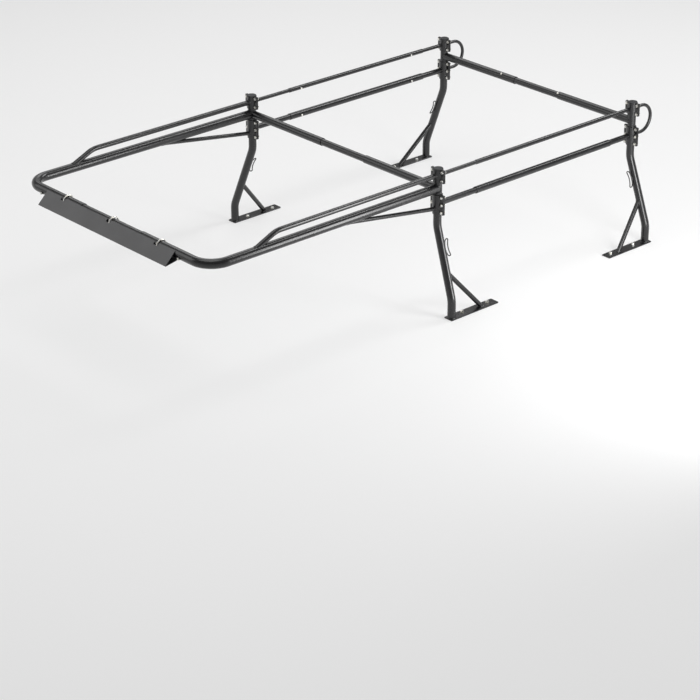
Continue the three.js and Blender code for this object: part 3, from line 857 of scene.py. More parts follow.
# %% [markdown]
# ## Leg braces
#
# A one inch tube runs down from each leg to the far part of its plate, and keeps the leg from
# rocking. Its top is coped to the leaning leg, and its foot is cut level. Both ends are welded
# all round. A plain cylinder pushed into the leg would look almost the same, but its hidden end
# would poke through the leg's wall.

# %% Make the leg braces
BRACE_OD = 25.4
BRACE_TOP_Z = 247.0
BRACE_FOOT_AWAY = 219.0
THIN_WELD = 2.6

for corner in CORNERS:
    top = leg_axis(corner, BRACE_TOP_Z)
    foot = leg_axis(corner, PLATE_TOP, BRACE_FOOT_AWAY)
    brace = Tube([top, foot], BRACE_OD, np.cross(unit(foot - top), UP))
    lean = leg_lean(corner)
    brace.cut_start(lambda p, h: cope(p, h, top, lean, LEG_OD / 2))
    brace.cut_end(lambda p, h: cope_plane(p, h, PLATE_TOP))
    skins = welded(brace, THIN_WELD)
    name = corner + "_brace_tube"
    make_piece(name, skins, BLACK_COAT, body_of(corner), [corner + "_leg_brace"])
print("braces:", made_faces["front_left_brace_tube"], "triangles each")

# %% [markdown]
# ## Rope cleats
#
# A ring of 6 mm wire on each leg takes a rope. The ring is long and narrow. Its middle is welded
# to the leg, and both of its round ends bow away, so that a rope can be wound behind them. A bent
# torus would be close, but its straight sides would bulge. So the ring's line is worked out
# first, and a round section is carried round it.

# %% Make the rope cleats
CLEAT_WIRE = 6.0
CLEAT_Z = 361.0
CLEAT_LENGTH = 97.0
CLEAT_WIDTH = 25.5
CLEAT_BOW = 11.7


def cleat_away(corner):
    """Direction from a leg to its cleat: towards the rack's middle, square to the leg's lean."""
    _, end, _ = CORNERS[corner]
    lean = leg_lean(corner)
    return unit(-end * AHEAD + end * lean[0] * lean)


def cleat_line(corner):
    """Middle line of the ring: a slot shape in the plane of the leg's lean and of +X or −X.

    The point at a distance t along the leg is pushed away from it by bow·(t / half length)².
    """
    half = (CLEAT_LENGTH - CLEAT_WIRE) / 2
    rounding = (CLEAT_WIDTH - CLEAT_WIRE) / 2
    straight = half - rounding
    turn = np.linspace(-np.pi / 2, np.pi / 2, 15)
    run = np.linspace(-straight, straight, 17)[1:-1]
    lengths = np.concatenate([straight + rounding * np.cos(turn), run[::-1]])
    lengths = np.concatenate([lengths, -straight - rounding * np.cos(turn), run])
    widths = np.concatenate([rounding * np.sin(turn), np.full(len(run), rounding)])
    widths = np.concatenate([widths, -rounding * np.sin(turn), np.full(len(run), -rounding)])
    away = cleat_away(corner)
    seat = leg_axis(corner, CLEAT_Z) + away * (LEG_OD / 2 + CLEAT_WIRE / 2 + rounding)
    bowed = widths + CLEAT_BOW * (lengths / half) ** 2
    return seat + lengths[:, None] * leg_lean(corner) + bowed[:, None] * away


def wire_ring(line, across, diameter, sides=16):
    """A round wire carried round a closed flat line, in rings square to the line."""
    heading = unit(np.roll(line, -1, axis=0) - np.roll(line, 1, axis=0))
    side = np.cross(across, heading)
    angle = np.linspace(0, 2 * np.pi, sides, endpoint=False)[None, :, None]
    swing = np.cos(angle) * side[:, None] + np.sin(angle) * across
    return looped_skin(line[:, None] + diameter / 2 * swing)


for corner in CORNERS:
    away = cleat_away(corner)
    lean = leg_lean(corner)
    line = cleat_line(corner)
    seat = leg_axis(corner, CLEAT_Z) + away * (LEG_OD / 2 + 1)
    turn = np.linspace(0, 2 * np.pi, 24, endpoint=False)[:, None]
    patch = seat + 11 * np.cos(turn) * lean + 2.4 * np.sin(turn) * np.cross(lean, away)
    skins = [wire_ring(line, np.cross(lean, away), CLEAT_WIRE), bead(patch, 2.0, 4.0)]
    name = corner + "_cleat_ring"
    make_piece(name, skins, BLACK_COAT, body_of(corner), [corner + "_rope_cleat"])
print("cleats:", made_faces["front_left_cleat_ring"], "triangles each")

# %% [markdown]
# ## Clamps
#
# Above and below each cross bar, two pressed half shells close round the leg, and bolts through
# their ears pull them tight. Each shell is 5 mm plate: a half ring that flows through a small
# bend into a flat ear on both sides. The outer and the inner line of its section are worked out
# as matching rows of points, and the section is carried up over the clamp's height. A thickened
# plane would give the plate as well, but then the bore wouldn't sit on the leg. A bevel softens
# the sheared edges.

# %% Make one half shell
CLAMP_BORE = 22.3
CLAMP_RADIUS = 27.5
EAR_REACH = 48.0
EAR_FACE = 6.5
EAR_SPLIT = 1.5
EAR_BEND = 4.0
UPPER_CLAMP = (724.0, 796.0)
LOWER_CLAMP = (548.0, 656.0)


def shell_section():
    """Outer and inner lines of a half shell seen from above, on the +X side of the leg.

    The fillet between ear and ring has its centre at the distance R + r from the leg's axis.
    """
    centre = np.array([EAR_FACE + EAR_BEND, 0.0])
    centre[1] = -np.sqrt((CLAMP_RADIUS + EAR_BEND) ** 2 - centre[0] ** 2)
    towards = np.arctan2(-centre[1], -centre[0])
    turn = np.linspace(np.pi, towards, 6)
    ear = np.column_stack([np.full(5, EAR_FACE), np.linspace(-EAR_REACH, centre[1], 6)[:-1]])
    fillet = centre + EAR_BEND * np.column_stack([np.cos(turn), np.sin(turn)])
    sweep = np.linspace(towards - np.pi, np.pi - towards, 31)[1:-1]
    ring = CLAMP_RADIUS * np.column_stack([np.cos(sweep), np.sin(sweep)])
    half = np.vstack([ear, fillet])
    outer = np.vstack([half, ring, (half * [1, -1])[::-1]])
    edge = np.arcsin(EAR_SPLIT / CLAMP_BORE)
    run = np.linspace(-EAR_REACH, -CLAMP_BORE * np.cos(edge), len(half))
    flat = np.column_stack([np.full(len(half), EAR_SPLIT), run])
    inward = np.linspace(edge - np.pi / 2, np.pi / 2 - edge, 31)[1:-1]
    bore = CLAMP_BORE * np.column_stack([np.cos(inward), np.sin(inward)])
    return outer, np.vstack([flat, bore, (flat * [1, -1])[::-1]])


def half_shell(corner, facing, span):
    """Skin of a half shell that faces +X or −X, between two heights."""
    grids = []
    for line in shell_section():
        grid = np.zeros((len(line), 2, 3))
        grid[:, :, 0] = (CORNERS[corner][0] + facing * line[:, 0])[:, None]
        grid[:, :, 1] = (at(corner, 0, 0, 0)[1] + line[:, 1])[:, None]
        grid[:, :, 2] = span
        grids.append(grid)
    return sheet_skin(*grids)


print("a half shell's section has", len(shell_section()[0]), "stations")

# %% [markdown]
# ## What is welded to the clamps
#
# The side bars' stubs leave the shells that face the rack's middle. At the front, the upper rail
# and its slanting strut leave the other shells, and at the back the half-round hoop does. All of
# them are coped to the shell's round back and welded. Each shell is made next to its stub here,
# because both stand for one solid of the frame.

# %% Make the clamps with their stubs
CLAMPS = {"upper": UPPER_CLAMP, "lower": LOWER_CLAMP}
STUB_OD = {"upper": 21.4, "lower": 31.7}
STUB_WALL = 2.0
STUB_WELD = 2.8
STUB_IN_SLEEVE = 230.0
SHEARED_EDGE = 0.9


def weld_to_clamp(tube, corner, at_start=True):
    """Copes an end of a tube to the round back of a clamp."""
    axis_point = at(corner, 0, 0, 0)
    cut = tube.cut_start if at_start else tube.cut_end
    sign = 1.0 if at_start else -1.0
    cut(lambda p, h: cope(p, h, axis_point, UP, CLAMP_RADIUS, sign))


for corner, (x, end, _) in CORNERS.items():
    for level, span in CLAMPS.items():
        sleeve_low, sleeve_high = box_mm(f"left_{level}_sleeve")
        near = sleeve_high[0] if end > 0 else sleeve_low[0]
        middle = sum(span) / 2
        stub_end = at(corner, near - x - end * STUB_IN_SLEEVE, 0, middle)
        stub = Tube([at(corner, 0, 0, middle), stub_end], STUB_OD[level], LEFT, wall=STUB_WALL)
        weld_to_clamp(stub, corner)
        clamp = f"{corner}_{level}_clamp"
        for name, skins, nodes, edge in (
            ("_bed_shell", [half_shell(corner, -end, span)], [], SHEARED_EDGE),
            ("_stub", welded(stub, STUB_WELD), [clamp + "_bed_half"], 0.0),
            ("_end_shell", [half_shell(corner, end, span)], [clamp + "_end_half"], SHEARED_EDGE),
        ):
            make_piece(clamp + name, skins, BLACK_COAT, body_of(corner), nodes, edge)
print("clamps:", made_faces["front_left_upper_clamp_end_shell"], "triangles a shell")

# %% [markdown]
# ## Bolts
#
# M8 bolts close the clamps. A hexagon head is a hexagonal bar whose corners a cone has cut, so
# each of its radii is the smaller of the hexagon's and the cone's. The thread that shows past the
# nut is a helix: its radius falls and rises once for each pitch of 1.25 mm, and its phase turns
# once around. A bump could only fake the thread, and its teeth show against the light.

# %% Bolts, nuts and washers
WASHER_THICK = 1.6


def washer(seat, axis, radius, thickness):
    """A flat washer with softened edges, lying on seat."""
    e = 0.3
    rows = [[0, radius - e], [e, radius], [thickness - e, radius], [thickness, radius - e]]
    return turned(seat, axis, rows, sides=24)


def hex_head(seat, axis, across_flats, height):
    """A bolt head on its washer face. A cone at 30° takes the corners off its top."""
    a = across_flats / 2
    corner = a / np.cos(np.pi / 6)
    cut = corner - 0.93 * a
    drop = cut * np.tan(np.pi / 6)
    rows = [[0, 0.94 * a], [0.4, 0.94 * a], [0.4, corner]]
    rows += [[height - drop + drop * t, corner - cut * t] for t in (0, 0.33, 0.66, 1)]
    return turned(seat, axis, rows, sides=24, flats=a)


def hex_nut(seat, axis, across_flats, height):
    """A nut, with its corners cut by a cone on both sides."""
    a = across_flats / 2
    corner = a / np.cos(np.pi / 6)
    drop = (corner - 0.95 * a) * np.tan(np.pi / 6)
    up = [[drop * t, 0.95 * a + (corner - 0.95 * a) * t] for t in (0, 0.5, 1)]
    down = [[height - h, r] for h, r in up[::-1]]
    return turned(seat, axis, up + down, sides=24, flats=a)


def thread(start, axis, length, radius, pitch=1.25, sides=24):
    """A threaded end with a pointed tip.

    Its radius is R − depth·|2·frac(height/pitch − angle/360°) − 1|.
    """
    heights = np.linspace(0, length, int(length / pitch * 6) + 1)
    turn = np.arange(sides) / sides
    wave = np.abs(2 * ((heights[:, None] / pitch - turn[None]) % 1.0) - 1)
    tip = np.clip((length - heights) / (0.8 * pitch), 0, 1)[:, None]
    radii = (radius - 0.6 * pitch * wave) * (0.8 + 0.2 * tip)
    return stacked_rings(start, axis, heights, radii, sides)


def bolt_through(seat, axis, grip, across_flats, radius, past=4.0):
    """Head and washer on a seat, washer and nut beyond the grip, and the thread past the nut."""
    axis = unit(axis)
    back = seat - grip * axis
    nut_height = 0.5 * across_flats
    return [
        washer(seat, axis, 1.25 * across_flats / 2, WASHER_THICK),
        hex_head(seat + WASHER_THICK * axis, axis, across_flats, 0.41 * across_flats),
        washer(back, -axis, 1.25 * across_flats / 2, WASHER_THICK),
        hex_nut(back - WASHER_THICK * axis, -axis, across_flats, nut_height),
        thread(seat, -axis, grip + WASHER_THICK + nut_height + past, radius),
    ]


print("an M8 nut has", len(hex_nut(np.zeros(3), UP, 13.0, 6.5)[1]), "quads")

# %% [markdown]
# ## Forty clamp bolts
#
# The upper clamps have two bolts on each side and the lower ones three. Forty pieces would be
# possible, but a clamp is slack or tight as a whole. So each clamp's bolts are one piece.

# %% Make the clamp bolts
EAR_BOLT_OUT = 37.0
CLAMP_BOLTS_Z = {"upper": (736.0, 784.0), "lower": (560.0, 602.0, 644.0)}
M8_FLATS = 13.0
M8_RADIUS = 4.0

for corner in CORNERS:
    for level, heights in CLAMP_BOLTS_Z.items():
        skins = []
        for out in (-EAR_BOLT_OUT, EAR_BOLT_OUT):
            for z in heights:
                seat = at(corner, EAR_FACE, out, z)
                skins += bolt_through(seat, AHEAD, 2 * EAR_FACE, M8_FLATS, M8_RADIUS)
        make_piece(f"{corner}_{level}_clamp_bolts", skins, ZINC, body_of(corner))
print("clamp bolts:", made_faces["front_left_lower_clamp_bolts"], "triangles for six")

# %% [markdown]
# ## Base bolts
#
# Two M10 bolts hold each plate down. Only the heads and washers show, because the nuts lie under
# what the plate stands on. A head alone would look the same from above, but a bolt that ends at
# its washer holds nothing. So the shank goes on through the plate, flush with its underside.

# %% Make the base bolts
BASE_BOLTS_AWAY = (87.0, 274.0)
BASE_BOLT_INBOARD = 10.0
BASE_WASHER_RADIUS, BASE_WASHER_THICK = 11.0, 2.0
M10_FLATS, M10_HEAD, M10_RADIUS = 17.0, 7.0, 5.0

for corner, (_, _, side) in CORNERS.items():
    skins = []
    for away in BASE_BOLTS_AWAY:
        seat = leg_axis(corner, PLATE_TOP, away) - side * BASE_BOLT_INBOARD * LEFT
        skins.append(washer(seat, UP, BASE_WASHER_RADIUS, BASE_WASHER_THICK))
        skins.append(hex_head(seat + BASE_WASHER_THICK * UP, UP, M10_FLATS, M10_HEAD))
        shank = [[-1, M10_RADIUS], [PLATE_TOP - 0.5, M10_RADIUS], [PLATE_TOP, M10_RADIUS - 0.5]]
        skins.append(turned(seat, -UP, shank, sides=24))
    make_piece(corner + "_base_bolts", skins, ZINC, body_of(corner))
print("base bolts:", made_faces["front_left_base_bolts"], "triangles for two")

# %% [markdown]
# ## Cross bars
#
# A cross bar is three tubes. Two 44 mm end tubes are coped and welded to the legs, and a 38 mm
# tube slides in both of them. That is how the rack is set wider or narrower. One long tube would
# look the same from far away, but it couldn't slide, and the step at each mouth, which shows the
# outer tube's wall, would be missing. The mouths lie a little to the left of the middle, as the
# tubes happen to be set.

# %% Make the cross bars
CROSS_OD = 44.4
CROSS_MOUTHS = {1: 194.5, -1: -150.5}

for corner, (x, _, side) in CORNERS.items():
    mouth = np.array([x, CROSS_MOUTHS[side], BAR_Z])
    stops = [at(corner, 0, 0, BAR_Z), mouth]
    bar = Tube(stops, CROSS_OD, UP, wall=TUBE_WALL, bore=SLIDING_BORE)
    bar.cut_start(lambda p, h: cope(p, h, at(corner, 0, 0, 0), UP, LEG_OD / 2))
    name = corner + "_cross_tube"
    make_piece(name, welded(bar), BLACK_COAT, body_of(corner), [corner + "_cross_bar_end"])
for end, x in (("front", FRONT_X), ("rear", REAR_X)):
    node = end + "_cross_bar_middle"
    low, high = box_mm(node)
    stops = [[x, y, BAR_Z] for y in (low[1], high[1])]
    bar = Tube(stops, high[2] - low[2], UP, wall=TUBE_WALL)
    name = end + "_cross_middle_tube"
    make_piece(name, [bar.skin()], BLACK_COAT, end + "_cross_middle", [node])
print("cross tubes:", made_faces["front_left_cross_tube"], "triangles each")

# %% [markdown]
# ## Side bars
#
# Along each side, a thin and a thick sleeve slide on the stubs. They set the rack's length. The
# sleeve is the outer tube here and the stub the inner one, so both mouths of a sleeve are open.

# %% Make the side sleeves
SLEEVE_WALL = {"upper": 1.6, "lower": TUBE_WALL}

for side in ("left", "right"):
    for level, wall in SLEEVE_WALL.items():
        node = f"{side}_{level}_sleeve"
        low, high = box_mm(node)
        middle = (low + high) / 2
        ends = [[x, middle[1], middle[2]] for x in (low[0], high[0])]
        sleeve = Tube(ends, high[2] - low[2], LEFT, wall=wall, bore=SLIDING_BORE)
        body = f"{side}_{level}_bar"
        make_piece(node + "_tube", [sleeve.skin()], BLACK_COAT, body, [node])
print("sleeves:", made_faces["left_upper_sleeve_tube"], "triangles each")

# %% [markdown]
# ## The front frame
#
# A two inch tube runs forward from each front leg, bends round the corner and forms half of the
# front bar. A thinner tube joins both halves. Above it, a slim rail leaves the upper clamp, bends
# down and lands on the side tube, and a strut props the side tube from below. All three are
# routes with a bend or two, so the same tube maker draws them. Only what their ends are cut to
# differs.

# %% Make the front frame
CAB_OD = 50.8
CAB_CORNER_RADIUS = 115.0
CAB_MOUTHS = {1: 227.0, -1: -257.0}
RAIL_OD = 28.0
RAIL_BEND_AHEAD = 1100.0
RAIL_LANDS_AHEAD = 1262.0
RAIL_BEND_RADIUS = 150.0
STRUT_OD = 22.2
STRUT_Z = 578.0
STRUT_LANDS_AHEAD = 575.0
STRUT_INTO_TUBE = 60.0


def side_tube_cope(corner):
    """Cope to the near face of a side tube's straight part."""
    return lambda p, h: cope(p, h, at(corner, 0, 0, BAR_Z), AHEAD, CAB_OD / 2, -1.0)


for corner in ("front_left", "front_right"):
    x, _, side = CORNERS[corner]
    reach = BAR_X - x
    stops = [at(corner, 0, 0, BAR_Z), at(corner, reach, 0, BAR_Z)]
    stops.append(np.array([BAR_X, CAB_MOUTHS[side], BAR_Z]))
    tube = Tube(stops, CAB_OD, UP, CAB_CORNER_RADIUS, TUBE_WALL, sides=48, bore=SLIDING_BORE)
    tube.cut_start(lambda p, h: cope(p, h, at(corner, 0, 0, 0), UP, LEG_OD / 2))
    name = corner + "_cab_tube"
    make_piece(name, welded(tube), BLACK_COAT, body_of(corner), [corner + "_cab_side_tube"])

    stops = [at(corner, 0, 0, UPPER_Z), at(corner, RAIL_BEND_AHEAD, 0, UPPER_Z)]
    stops.append(at(corner, RAIL_LANDS_AHEAD, 0, BAR_Z))
    rail = Tube(stops, RAIL_OD, LEFT, RAIL_BEND_RADIUS)
    weld_to_clamp(rail, corner)
    rail.cut_end(side_tube_cope(corner))
    skins = welded(rail, THIN_WELD)
    name = corner + "_cab_rail_tube"
    make_piece(name, skins, BLACK_COAT, body_of(corner), [corner + "_cab_rail"])

    landing = at(corner, STRUT_LANDS_AHEAD, 0, BAR_Z - CAB_OD / 2)
    slope = unit(landing - at(corner, CLAMP_RADIUS, 0, STRUT_Z))
    start = at(corner, CLAMP_RADIUS, 0, STRUT_Z) - CLAMP_RADIUS / slope[0] * slope
    strut = Tube([start, landing + STRUT_INTO_TUBE * slope], STRUT_OD, LEFT)
    weld_to_clamp(strut, corner)
    strut.cut_end(side_tube_cope(corner))
    skins = welded(strut, THIN_WELD)
    name = corner + "_cab_strut_tube"
    make_piece(name, skins, BLACK_COAT, body_of(corner), [corner + "_cab_strut"])

node = "cab_front_bar_middle"
low, high = box_mm(node)
stops = [[BAR_X, y, BAR_Z] for y in (low[1], high[1])]
middle = Tube(stops, high[2] - low[2], UP, wall=TUBE_WALL)
make_piece("cab_bar_middle_tube", [middle.skin()], BLACK_COAT, "cab_bar_middle", [node])
print("front frame tubes:", made_faces["front_left_cab_tube"], "triangles each")

# %% [markdown]
# ## Hoops
#
# A half-round hoop of solid bar closes the back of each rear leg, and a strap can be hung from
# it. Half a torus and two cylinders would leave seams. So it is one route with two bends, which
# meet in the middle.

# %% Make the hoops
HOOP_ROD = 19.0
HOOP_STRAIGHT = 75.0
HOOP_WELD = 2.4
HOOP_RADIUS = (UPPER_Z - LOWER_Z) / 2

for corner in ("rear_left", "rear_right"):
    back = -HOOP_STRAIGHT - HOOP_RADIUS
    stops = [(0, UPPER_Z), (back, UPPER_Z), (back, LOWER_Z), (0, LOWER_Z)]
    places = [at(corner, ahead, 0, z) for ahead, z in stops]
    hoop = Tube(places, HOOP_ROD, LEFT, HOOP_RADIUS - 0.01, sides=32)
    weld_to_clamp(hoop, corner)
    weld_to_clamp(hoop, corner, at_start=False)
    skins = welded(hoop, HOOP_WELD)
    make_piece(corner + "_hoop_bar", skins, BLACK_COAT, body_of(corner), [corner + "_hoop"])
print("hoops:", made_faces["rear_left_hoop_bar"], "triangles each")

# %% [markdown]
# ## Wind deflector
#
# One strip of 2 mm sheet is folded once along its length. The upper leaf leans on the front bar
# and turns the wind up and over the load. The lower leaf runs back under the bar. The section is
# worked out as two lines 2 mm apart, and it is carried along the bar. Where a U-bolt passes, the
# strip starts lower, which leaves a slot in its upper edge. The slot is wider on the bolt's
# right, as it is on the real sheet. A thickened plane could stand for the sheet, but the two
# lines place the tip of its fold exactly.

# %% Make the deflector
SHEET = 2.0
SHEET_OFF_BAR = 0.3
SHEET_EDGE = 0.5
NOSE = np.array([83.5, -46.0])
TAIL = np.array([-45.0, -25.0])
FOLD_RADIUS = 3.0
SLOT_RIGHT, SLOT_LEFT = -24.5, 6.5
SLOT_DEPTH = 16.0
U_BOLT_Y = [middle_mm("deflector_u_bolt_" + name)[1] for name in ("right", "middle", "left")]


def deflector_lines(starts):
    """Outer and inner points of the section, for rows whose upper leaf starts at given distances.

    The upper leaf is tangent to a circle round the bar. Its direction is found from the nose: the
    angle between the nose and the touching point is acos(radius / distance of the nose). The fold's
    tip stays at the nose, so the corner that it rounds lies r·(1/sin(half the fold's angle) − 1)
    ahead of it. The rows' points spread over what is left: a point nearer than twice the start
    moves to start + distance / 2.
    """
    touch = CAB_OD / 2 + SHEET_OFF_BAR + SHEET
    turn = np.arccos(touch / np.hypot(*NOSE)) + np.arctan2(NOSE[1], NOSE[0])
    top = touch * np.array([np.cos(turn), np.sin(turn)])
    into = unit(unit(top - NOSE) + unit(TAIL - NOSE))
    half = np.arccos(into @ unit(top - NOSE))
    corner = NOSE - FOLD_RADIUS * (1 / np.sin(half) - 1) * into
    flat = [np.array([point[0], 0.0, point[1]]) for point in (top, corner, TAIL)]
    line = bent_route(flat, FOLD_RADIUS, step_deg=12.0)
    marks = np.unique(np.concatenate([np.linspace(0, line[1][-1], 24), line[1][1:-1]]))
    first = starts[:, None]
    reach = np.where(marks > 2 * first, marks, first + marks / 2)
    place, heading = along(line, reach.ravel())
    shape = (*reach.shape, 3)
    return place.reshape(shape), (place + SHEET * np.cross(LEFT, heading)).reshape(shape)


def deflector_starts(rows):
    """Where the upper leaf starts: 0, or the slot's depth within the slot beside each U-bolt."""
    starts = np.zeros(len(rows))
    for y in U_BOLT_Y:
        starts[(rows > y + SLOT_RIGHT) & (rows < y + SLOT_LEFT)] = SLOT_DEPTH
    return starts


low, high = box_mm("wind_deflector")
edges = (SLOT_RIGHT - 0.5, SLOT_RIGHT + 0.5, -9, SLOT_LEFT - 0.5, SLOT_LEFT + 0.5)
slots = [y + edge for y in U_BOLT_Y for edge in edges]
rows = np.unique(np.concatenate([np.linspace(low[1], high[1], 45), slots]))
outer, inner = deflector_lines(deflector_starts(rows))
for grid in (outer, inner):
    grid += np.array([BAR_X, 0, BAR_Z])
    grid[:, :, 1] = rows[:, None]
skins = [sheet_skin(outer, inner)]
make_piece("wind_deflector_sheet", skins, SATIN_COAT, "deflector", ["wind_deflector"], SHEET_EDGE)
print("deflector:", made_faces["wind_deflector_sheet"], "triangles")

# %% [markdown]
# ## U-bolts
#
# Three zinc-plated U-bolts hold the sheet to the bar. Their legs pass down through the lower
# leaf, and a nut and a washer below it pull the sheet tight. When the nuts are slack, the sheet
# turns about the bar. The bow is a smooth rod, and its threaded ends are skins of their own,
# because only they need so many rings.

# %% Make the U-bolts
U_ROD = 8.0
U_RADIUS = 29.7
U_THREAD_TOP, U_THREAD_LOW = -12.0, -50.0
U_LEG_LOW = -20.0


def leaf_height(ahead):
    """Height of the lower leaf's underside below the bar's axis, at a distance ahead of it."""
    return NOSE[1] + (NOSE[0] - ahead) / (NOSE[0] - TAIL[0]) * (TAIL[1] - NOSE[1])


for name, y in zip(("right", "middle", "left"), U_BOLT_Y):
    axis = np.array([BAR_X, y, BAR_Z])
    stops = [(-1, U_LEG_LOW), (-1, U_RADIUS), (1, U_RADIUS), (1, U_LEG_LOW)]
    places = [axis + [sign * U_RADIUS, 0, z] for sign, z in stops]
    bow = Tube(places, U_ROD, LEFT, U_RADIUS - 0.01, sides=24)
    skins = [bow.skin()]
    for ahead in (-U_RADIUS, U_RADIUS):
        seat = axis + [ahead, 0, leaf_height(ahead) - 0.4]
        top = axis + [ahead, 0, U_THREAD_TOP]
        skins.append(thread(top, -UP, U_THREAD_TOP - U_THREAD_LOW, U_ROD / 2 + 0.05))
        skins.append(washer(seat, -UP, 8.5, WASHER_THICK))
        skins.append(hex_nut(seat - WASHER_THICK * UP, -UP, M8_FLATS, M8_FLATS / 2))
    make_piece(f"u_bolt_{name}", skins, ZINC, "deflector", ["deflector_u_bolt_" + name])
print("U-bolts:", made_faces["u_bolt_left"], "triangles each")

# %% [markdown]
# ## Set bolts
#
# Small bolts screwed into welded nuts lock the telescoping tubes. On the side sleeves they sit on
# the inner face, and on the rear cross bar halfway up its front. None can be seen on the front
# cross bar, so none is drawn there. Two more stand on the front bar beside the sheet. They point a
# little down, into the hollow between the sheet's leaves, so that they clear the sheet when the
# rack is at its narrowest. Nut and bolt differ in finish, so they are two pieces.

# %% Make the set bolts
SLEEVE_BOLTS = {"upper": (12.7, -77.0, 103.0), "lower": (19.05, -74.0, 103.0)}
CROSS_BOLTS_Y = {"rear_left": 202.0, "rear_right": -250.0}
CAB_BOLTS_Y = {"front_left": 551.0, "front_right": -588.0}
SMALL_FLATS = 11.0


def set_bolt(name, seat, axis, body, size):
    """A coated nut welded to a tube's face and a bright bolt in it, both of one size over flats."""
    axis = unit(axis)
    rows = [[-3, 0.55 * size], [3.4, 0.55 * size], [4.0, 0.5 * size]]
    boss = turned(seat, axis, rows, 24, size / 2)
    turn = np.arange(0, 6.2, 0.3)[:, None]
    across = unit(np.cross(axis, [0.3, 0.5, 0.8]))
    swing = np.cos(turn) * across + np.sin(turn) * np.cross(axis, across)
    skins = [boss, bead(seat + 0.58 * size * swing, 1.6, 4.0)]
    make_piece(name + "_nut", skins, BLACK_COAT, body)
    top = seat + 4.0 * axis
    head = hex_head(top + 1.2 * axis, axis, size, 0.42 * size)
    make_piece(name + "_bolt", [washer(top, axis, 0.5 * size, 1.2), head], ZINC, body)


for side, sign in (("left", 1), ("right", -1)):
    for level, (radius, front, rear) in SLEEVE_BOLTS.items():
        low, high = box_mm(f"{side}_{level}_sleeve")
        for place, x in (("front", high[0] + front), ("rear", low[0] + rear)):
            seat = np.array([x, sign * (SIDE_Y - radius), (low[2] + high[2]) / 2])
            name = f"{side}_{level}_{place}_set"
            set_bolt(name, seat, -sign * LEFT, f"{side}_{level}_bar", SMALL_FLATS)
for corner, y in CROSS_BOLTS_Y.items():
    tilt = unit(AHEAD + UP)
    seat = np.array([REAR_X, y, BAR_Z]) + CROSS_OD / 2 * tilt
    set_bolt(corner + "_cross_set", seat, tilt, body_of(corner), SMALL_FLATS)
for corner, y in CAB_BOLTS_Y.items():
    tilt = unit(0.94 * AHEAD - 0.342 * UP)
    seat = np.array([BAR_X, y, BAR_Z]) + CAB_OD / 2 * tilt
    set_bolt(corner + "_cab_set", seat, tilt, body_of(corner), M8_FLATS)
print("set bolts:", sum(name.endswith("_set_bolt") for name in made_faces))

# %% [markdown]
# ## Floor
#
# The floor is a wide pale dish whose rim curves up, so that no horizon shows. It catches the
# rack's soft shadow. For the camera it glows a little, so it reads as white paper without more
# light on the rack: the material mixes in an emission, but only on rays from the camera or from a
# mirror. A white background instead of a floor would be simpler, but the rack would seem to
# float.

# %% Make the floor
FLOOR_RIM = [(24.0, 0.0), (31.0, 0.6), (36.0, 2.2), (39.0, 4.6), (40.0, 9.0)]
FLOOR_DROP = 0.001
GLOW_SHARE = 0.48

turn = np.linspace(0, 2 * np.pi, 96, endpoint=False)
radius, height = np.array(FLOOR_RIM).T[:, :, None]
level = height + 0 * turn - FLOOR_DROP
rims = np.stack([radius * np.cos(turn), radius * np.sin(turn), level], -1)
number = np.arange(rims.size // 3).reshape(len(FLOOR_RIM), -1)
rim_faces = ring_quads(number[:-1], number[1:]).tolist()
floor_mesh = bpy.data.meshes.new("floor")
floor_mesh.from_pydata(rims.reshape(-1, 3).tolist(), [], [number[0].tolist()] + rim_faces)
floor = bpy.data.objects.new("floor", floor_mesh)
scene.collection.objects.link(floor)
paper, tree, shader = new_finish("matt_white_paper")
fill(tree, shader, {"Base Color": paint("#e8e8e8"), "Roughness": 1.0, "Specular IOR Level": 0.0})
seen = add(tree, "ShaderNodeLightPath").outputs
rays = {0: seen["Is Camera Ray"], 1: seen["Is Glossy Ray"]}
either = add(tree, "ShaderNodeMath", {"operation": "MAXIMUM"}, rays)
shares = {0: either.outputs[0], 1: GLOW_SHARE}
share = add(tree, "ShaderNodeMath", {"operation": "MULTIPLY"}, shares)
glow = add(tree, "ShaderNodeEmission", inputs={"Color": (1, 1, 1, 1), "Strength": 1.0})
sides = {0: share.outputs[0], 1: shader.outputs[0], 2: glow.outputs[0]}
blend = add(tree, "ShaderNodeMixShader", inputs=sides)
output = next(node for node in tree.nodes if node.type == "OUTPUT_MATERIAL")
tree.links.new(blend.outputs[0], output.inputs["Surface"])
floor_mesh.materials.append(paper)
print("floor:", len(rim_faces) + 1, "faces")

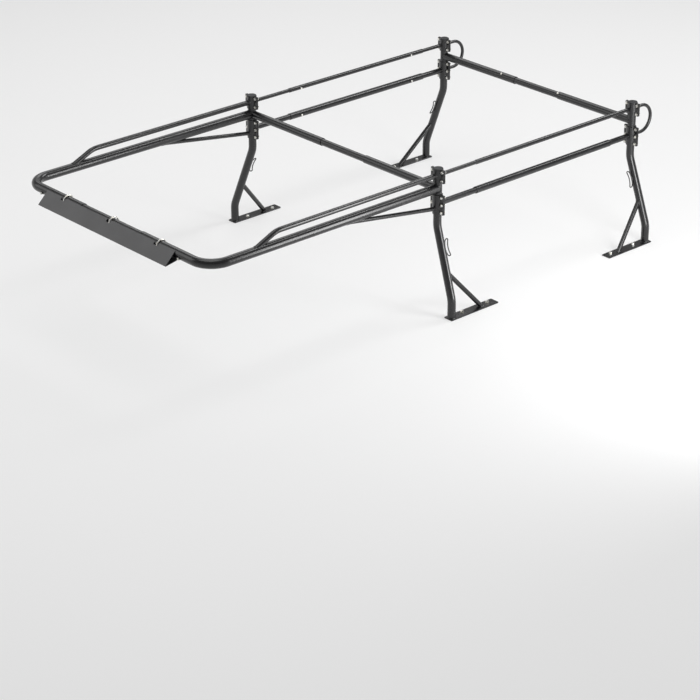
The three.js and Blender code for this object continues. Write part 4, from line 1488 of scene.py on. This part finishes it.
# %% [markdown]
# ## Lights
#
# Black tubes show mostly what they mirror. So each soft light is placed where one family of tubes
# mirrors it to the camera: one high behind the rack for the side bars, one high on the far side
# for the cross bars, one over the front frame, a tall one close beside the left legs, and one
# ahead for the sheet. A white world fills the shadows. One big lamp overhead would be simpler,
# but it draws no line along the tubes, and they would look flat.

# %% Place the lights
LIGHTS = {
    "high_behind_for_side_bars": ((-4.8, 1.0, 5.4), (-0.7, 0.75, 0.7), 1.6, 4.5, 170),
    "high_right_for_cross_bars": ((-2.6, -4.4, 5.2), (-0.7, 0, 0.7), 5.0, 3.5, 100),
    "over_the_front_frame": ((1.5, 0.0, 6.0), (1.0, 0, 0.7), 4.0, 4.0, 100),
    "close_beside_the_left_legs": ((-0.9, 2.95, 0.95), (-0.8, 0.75, 0.4), 1.0, 1.8, 62),
    "ahead_for_the_sheet": ((4.8, -4.4, 3.6), (1.5, 0, 0.7), 4.0, 4.0, 65),
}
WORLD_STRENGTH = 0.27


def soft_light(name, place, target, width, height, watts):
    """A rectangular area light, with sizes in metres, that faces a target."""
    lamp = bpy.data.lights.new(name, "AREA")
    lamp.shape = "RECTANGLE"
    lamp.size, lamp.size_y = width, height
    lamp.energy = watts
    light = bpy.data.objects.new(name, lamp)
    backward = unit(np.array(place) - np.array(target))
    steep = abs(backward[2]) > 0.99
    right = unit(np.cross(LEFT if steep else UP, backward))
    matrix = np.eye(4)
    matrix[:3, :4] = np.column_stack([right, np.cross(backward, right), backward, place])
    light.matrix_world = matrix.T.tolist()
    scene.collection.objects.link(light)


for name, setting in LIGHTS.items():
    soft_light(name, *setting)
world = bpy.data.worlds.new("studio")
world.use_nodes = True
sky = next(node for node in world.node_tree.nodes if node.type == "BACKGROUND")
fill(world.node_tree, sky, {"Color": (1, 1, 1, 1), "Strength": WORLD_STRENGTH})
scene.world = world
print("lights:", len(LIGHTS))

# %% [markdown]
# ## Pieces and triangles
#
# The dressed rack's pieces are counted, together with the triangles that they hold. The
# dressed rack has to fill the same box as the frame.

# %% Count the pieces and triangles
print("pieces:", len(made_faces), "triangles:", sum(made_faces.values()))
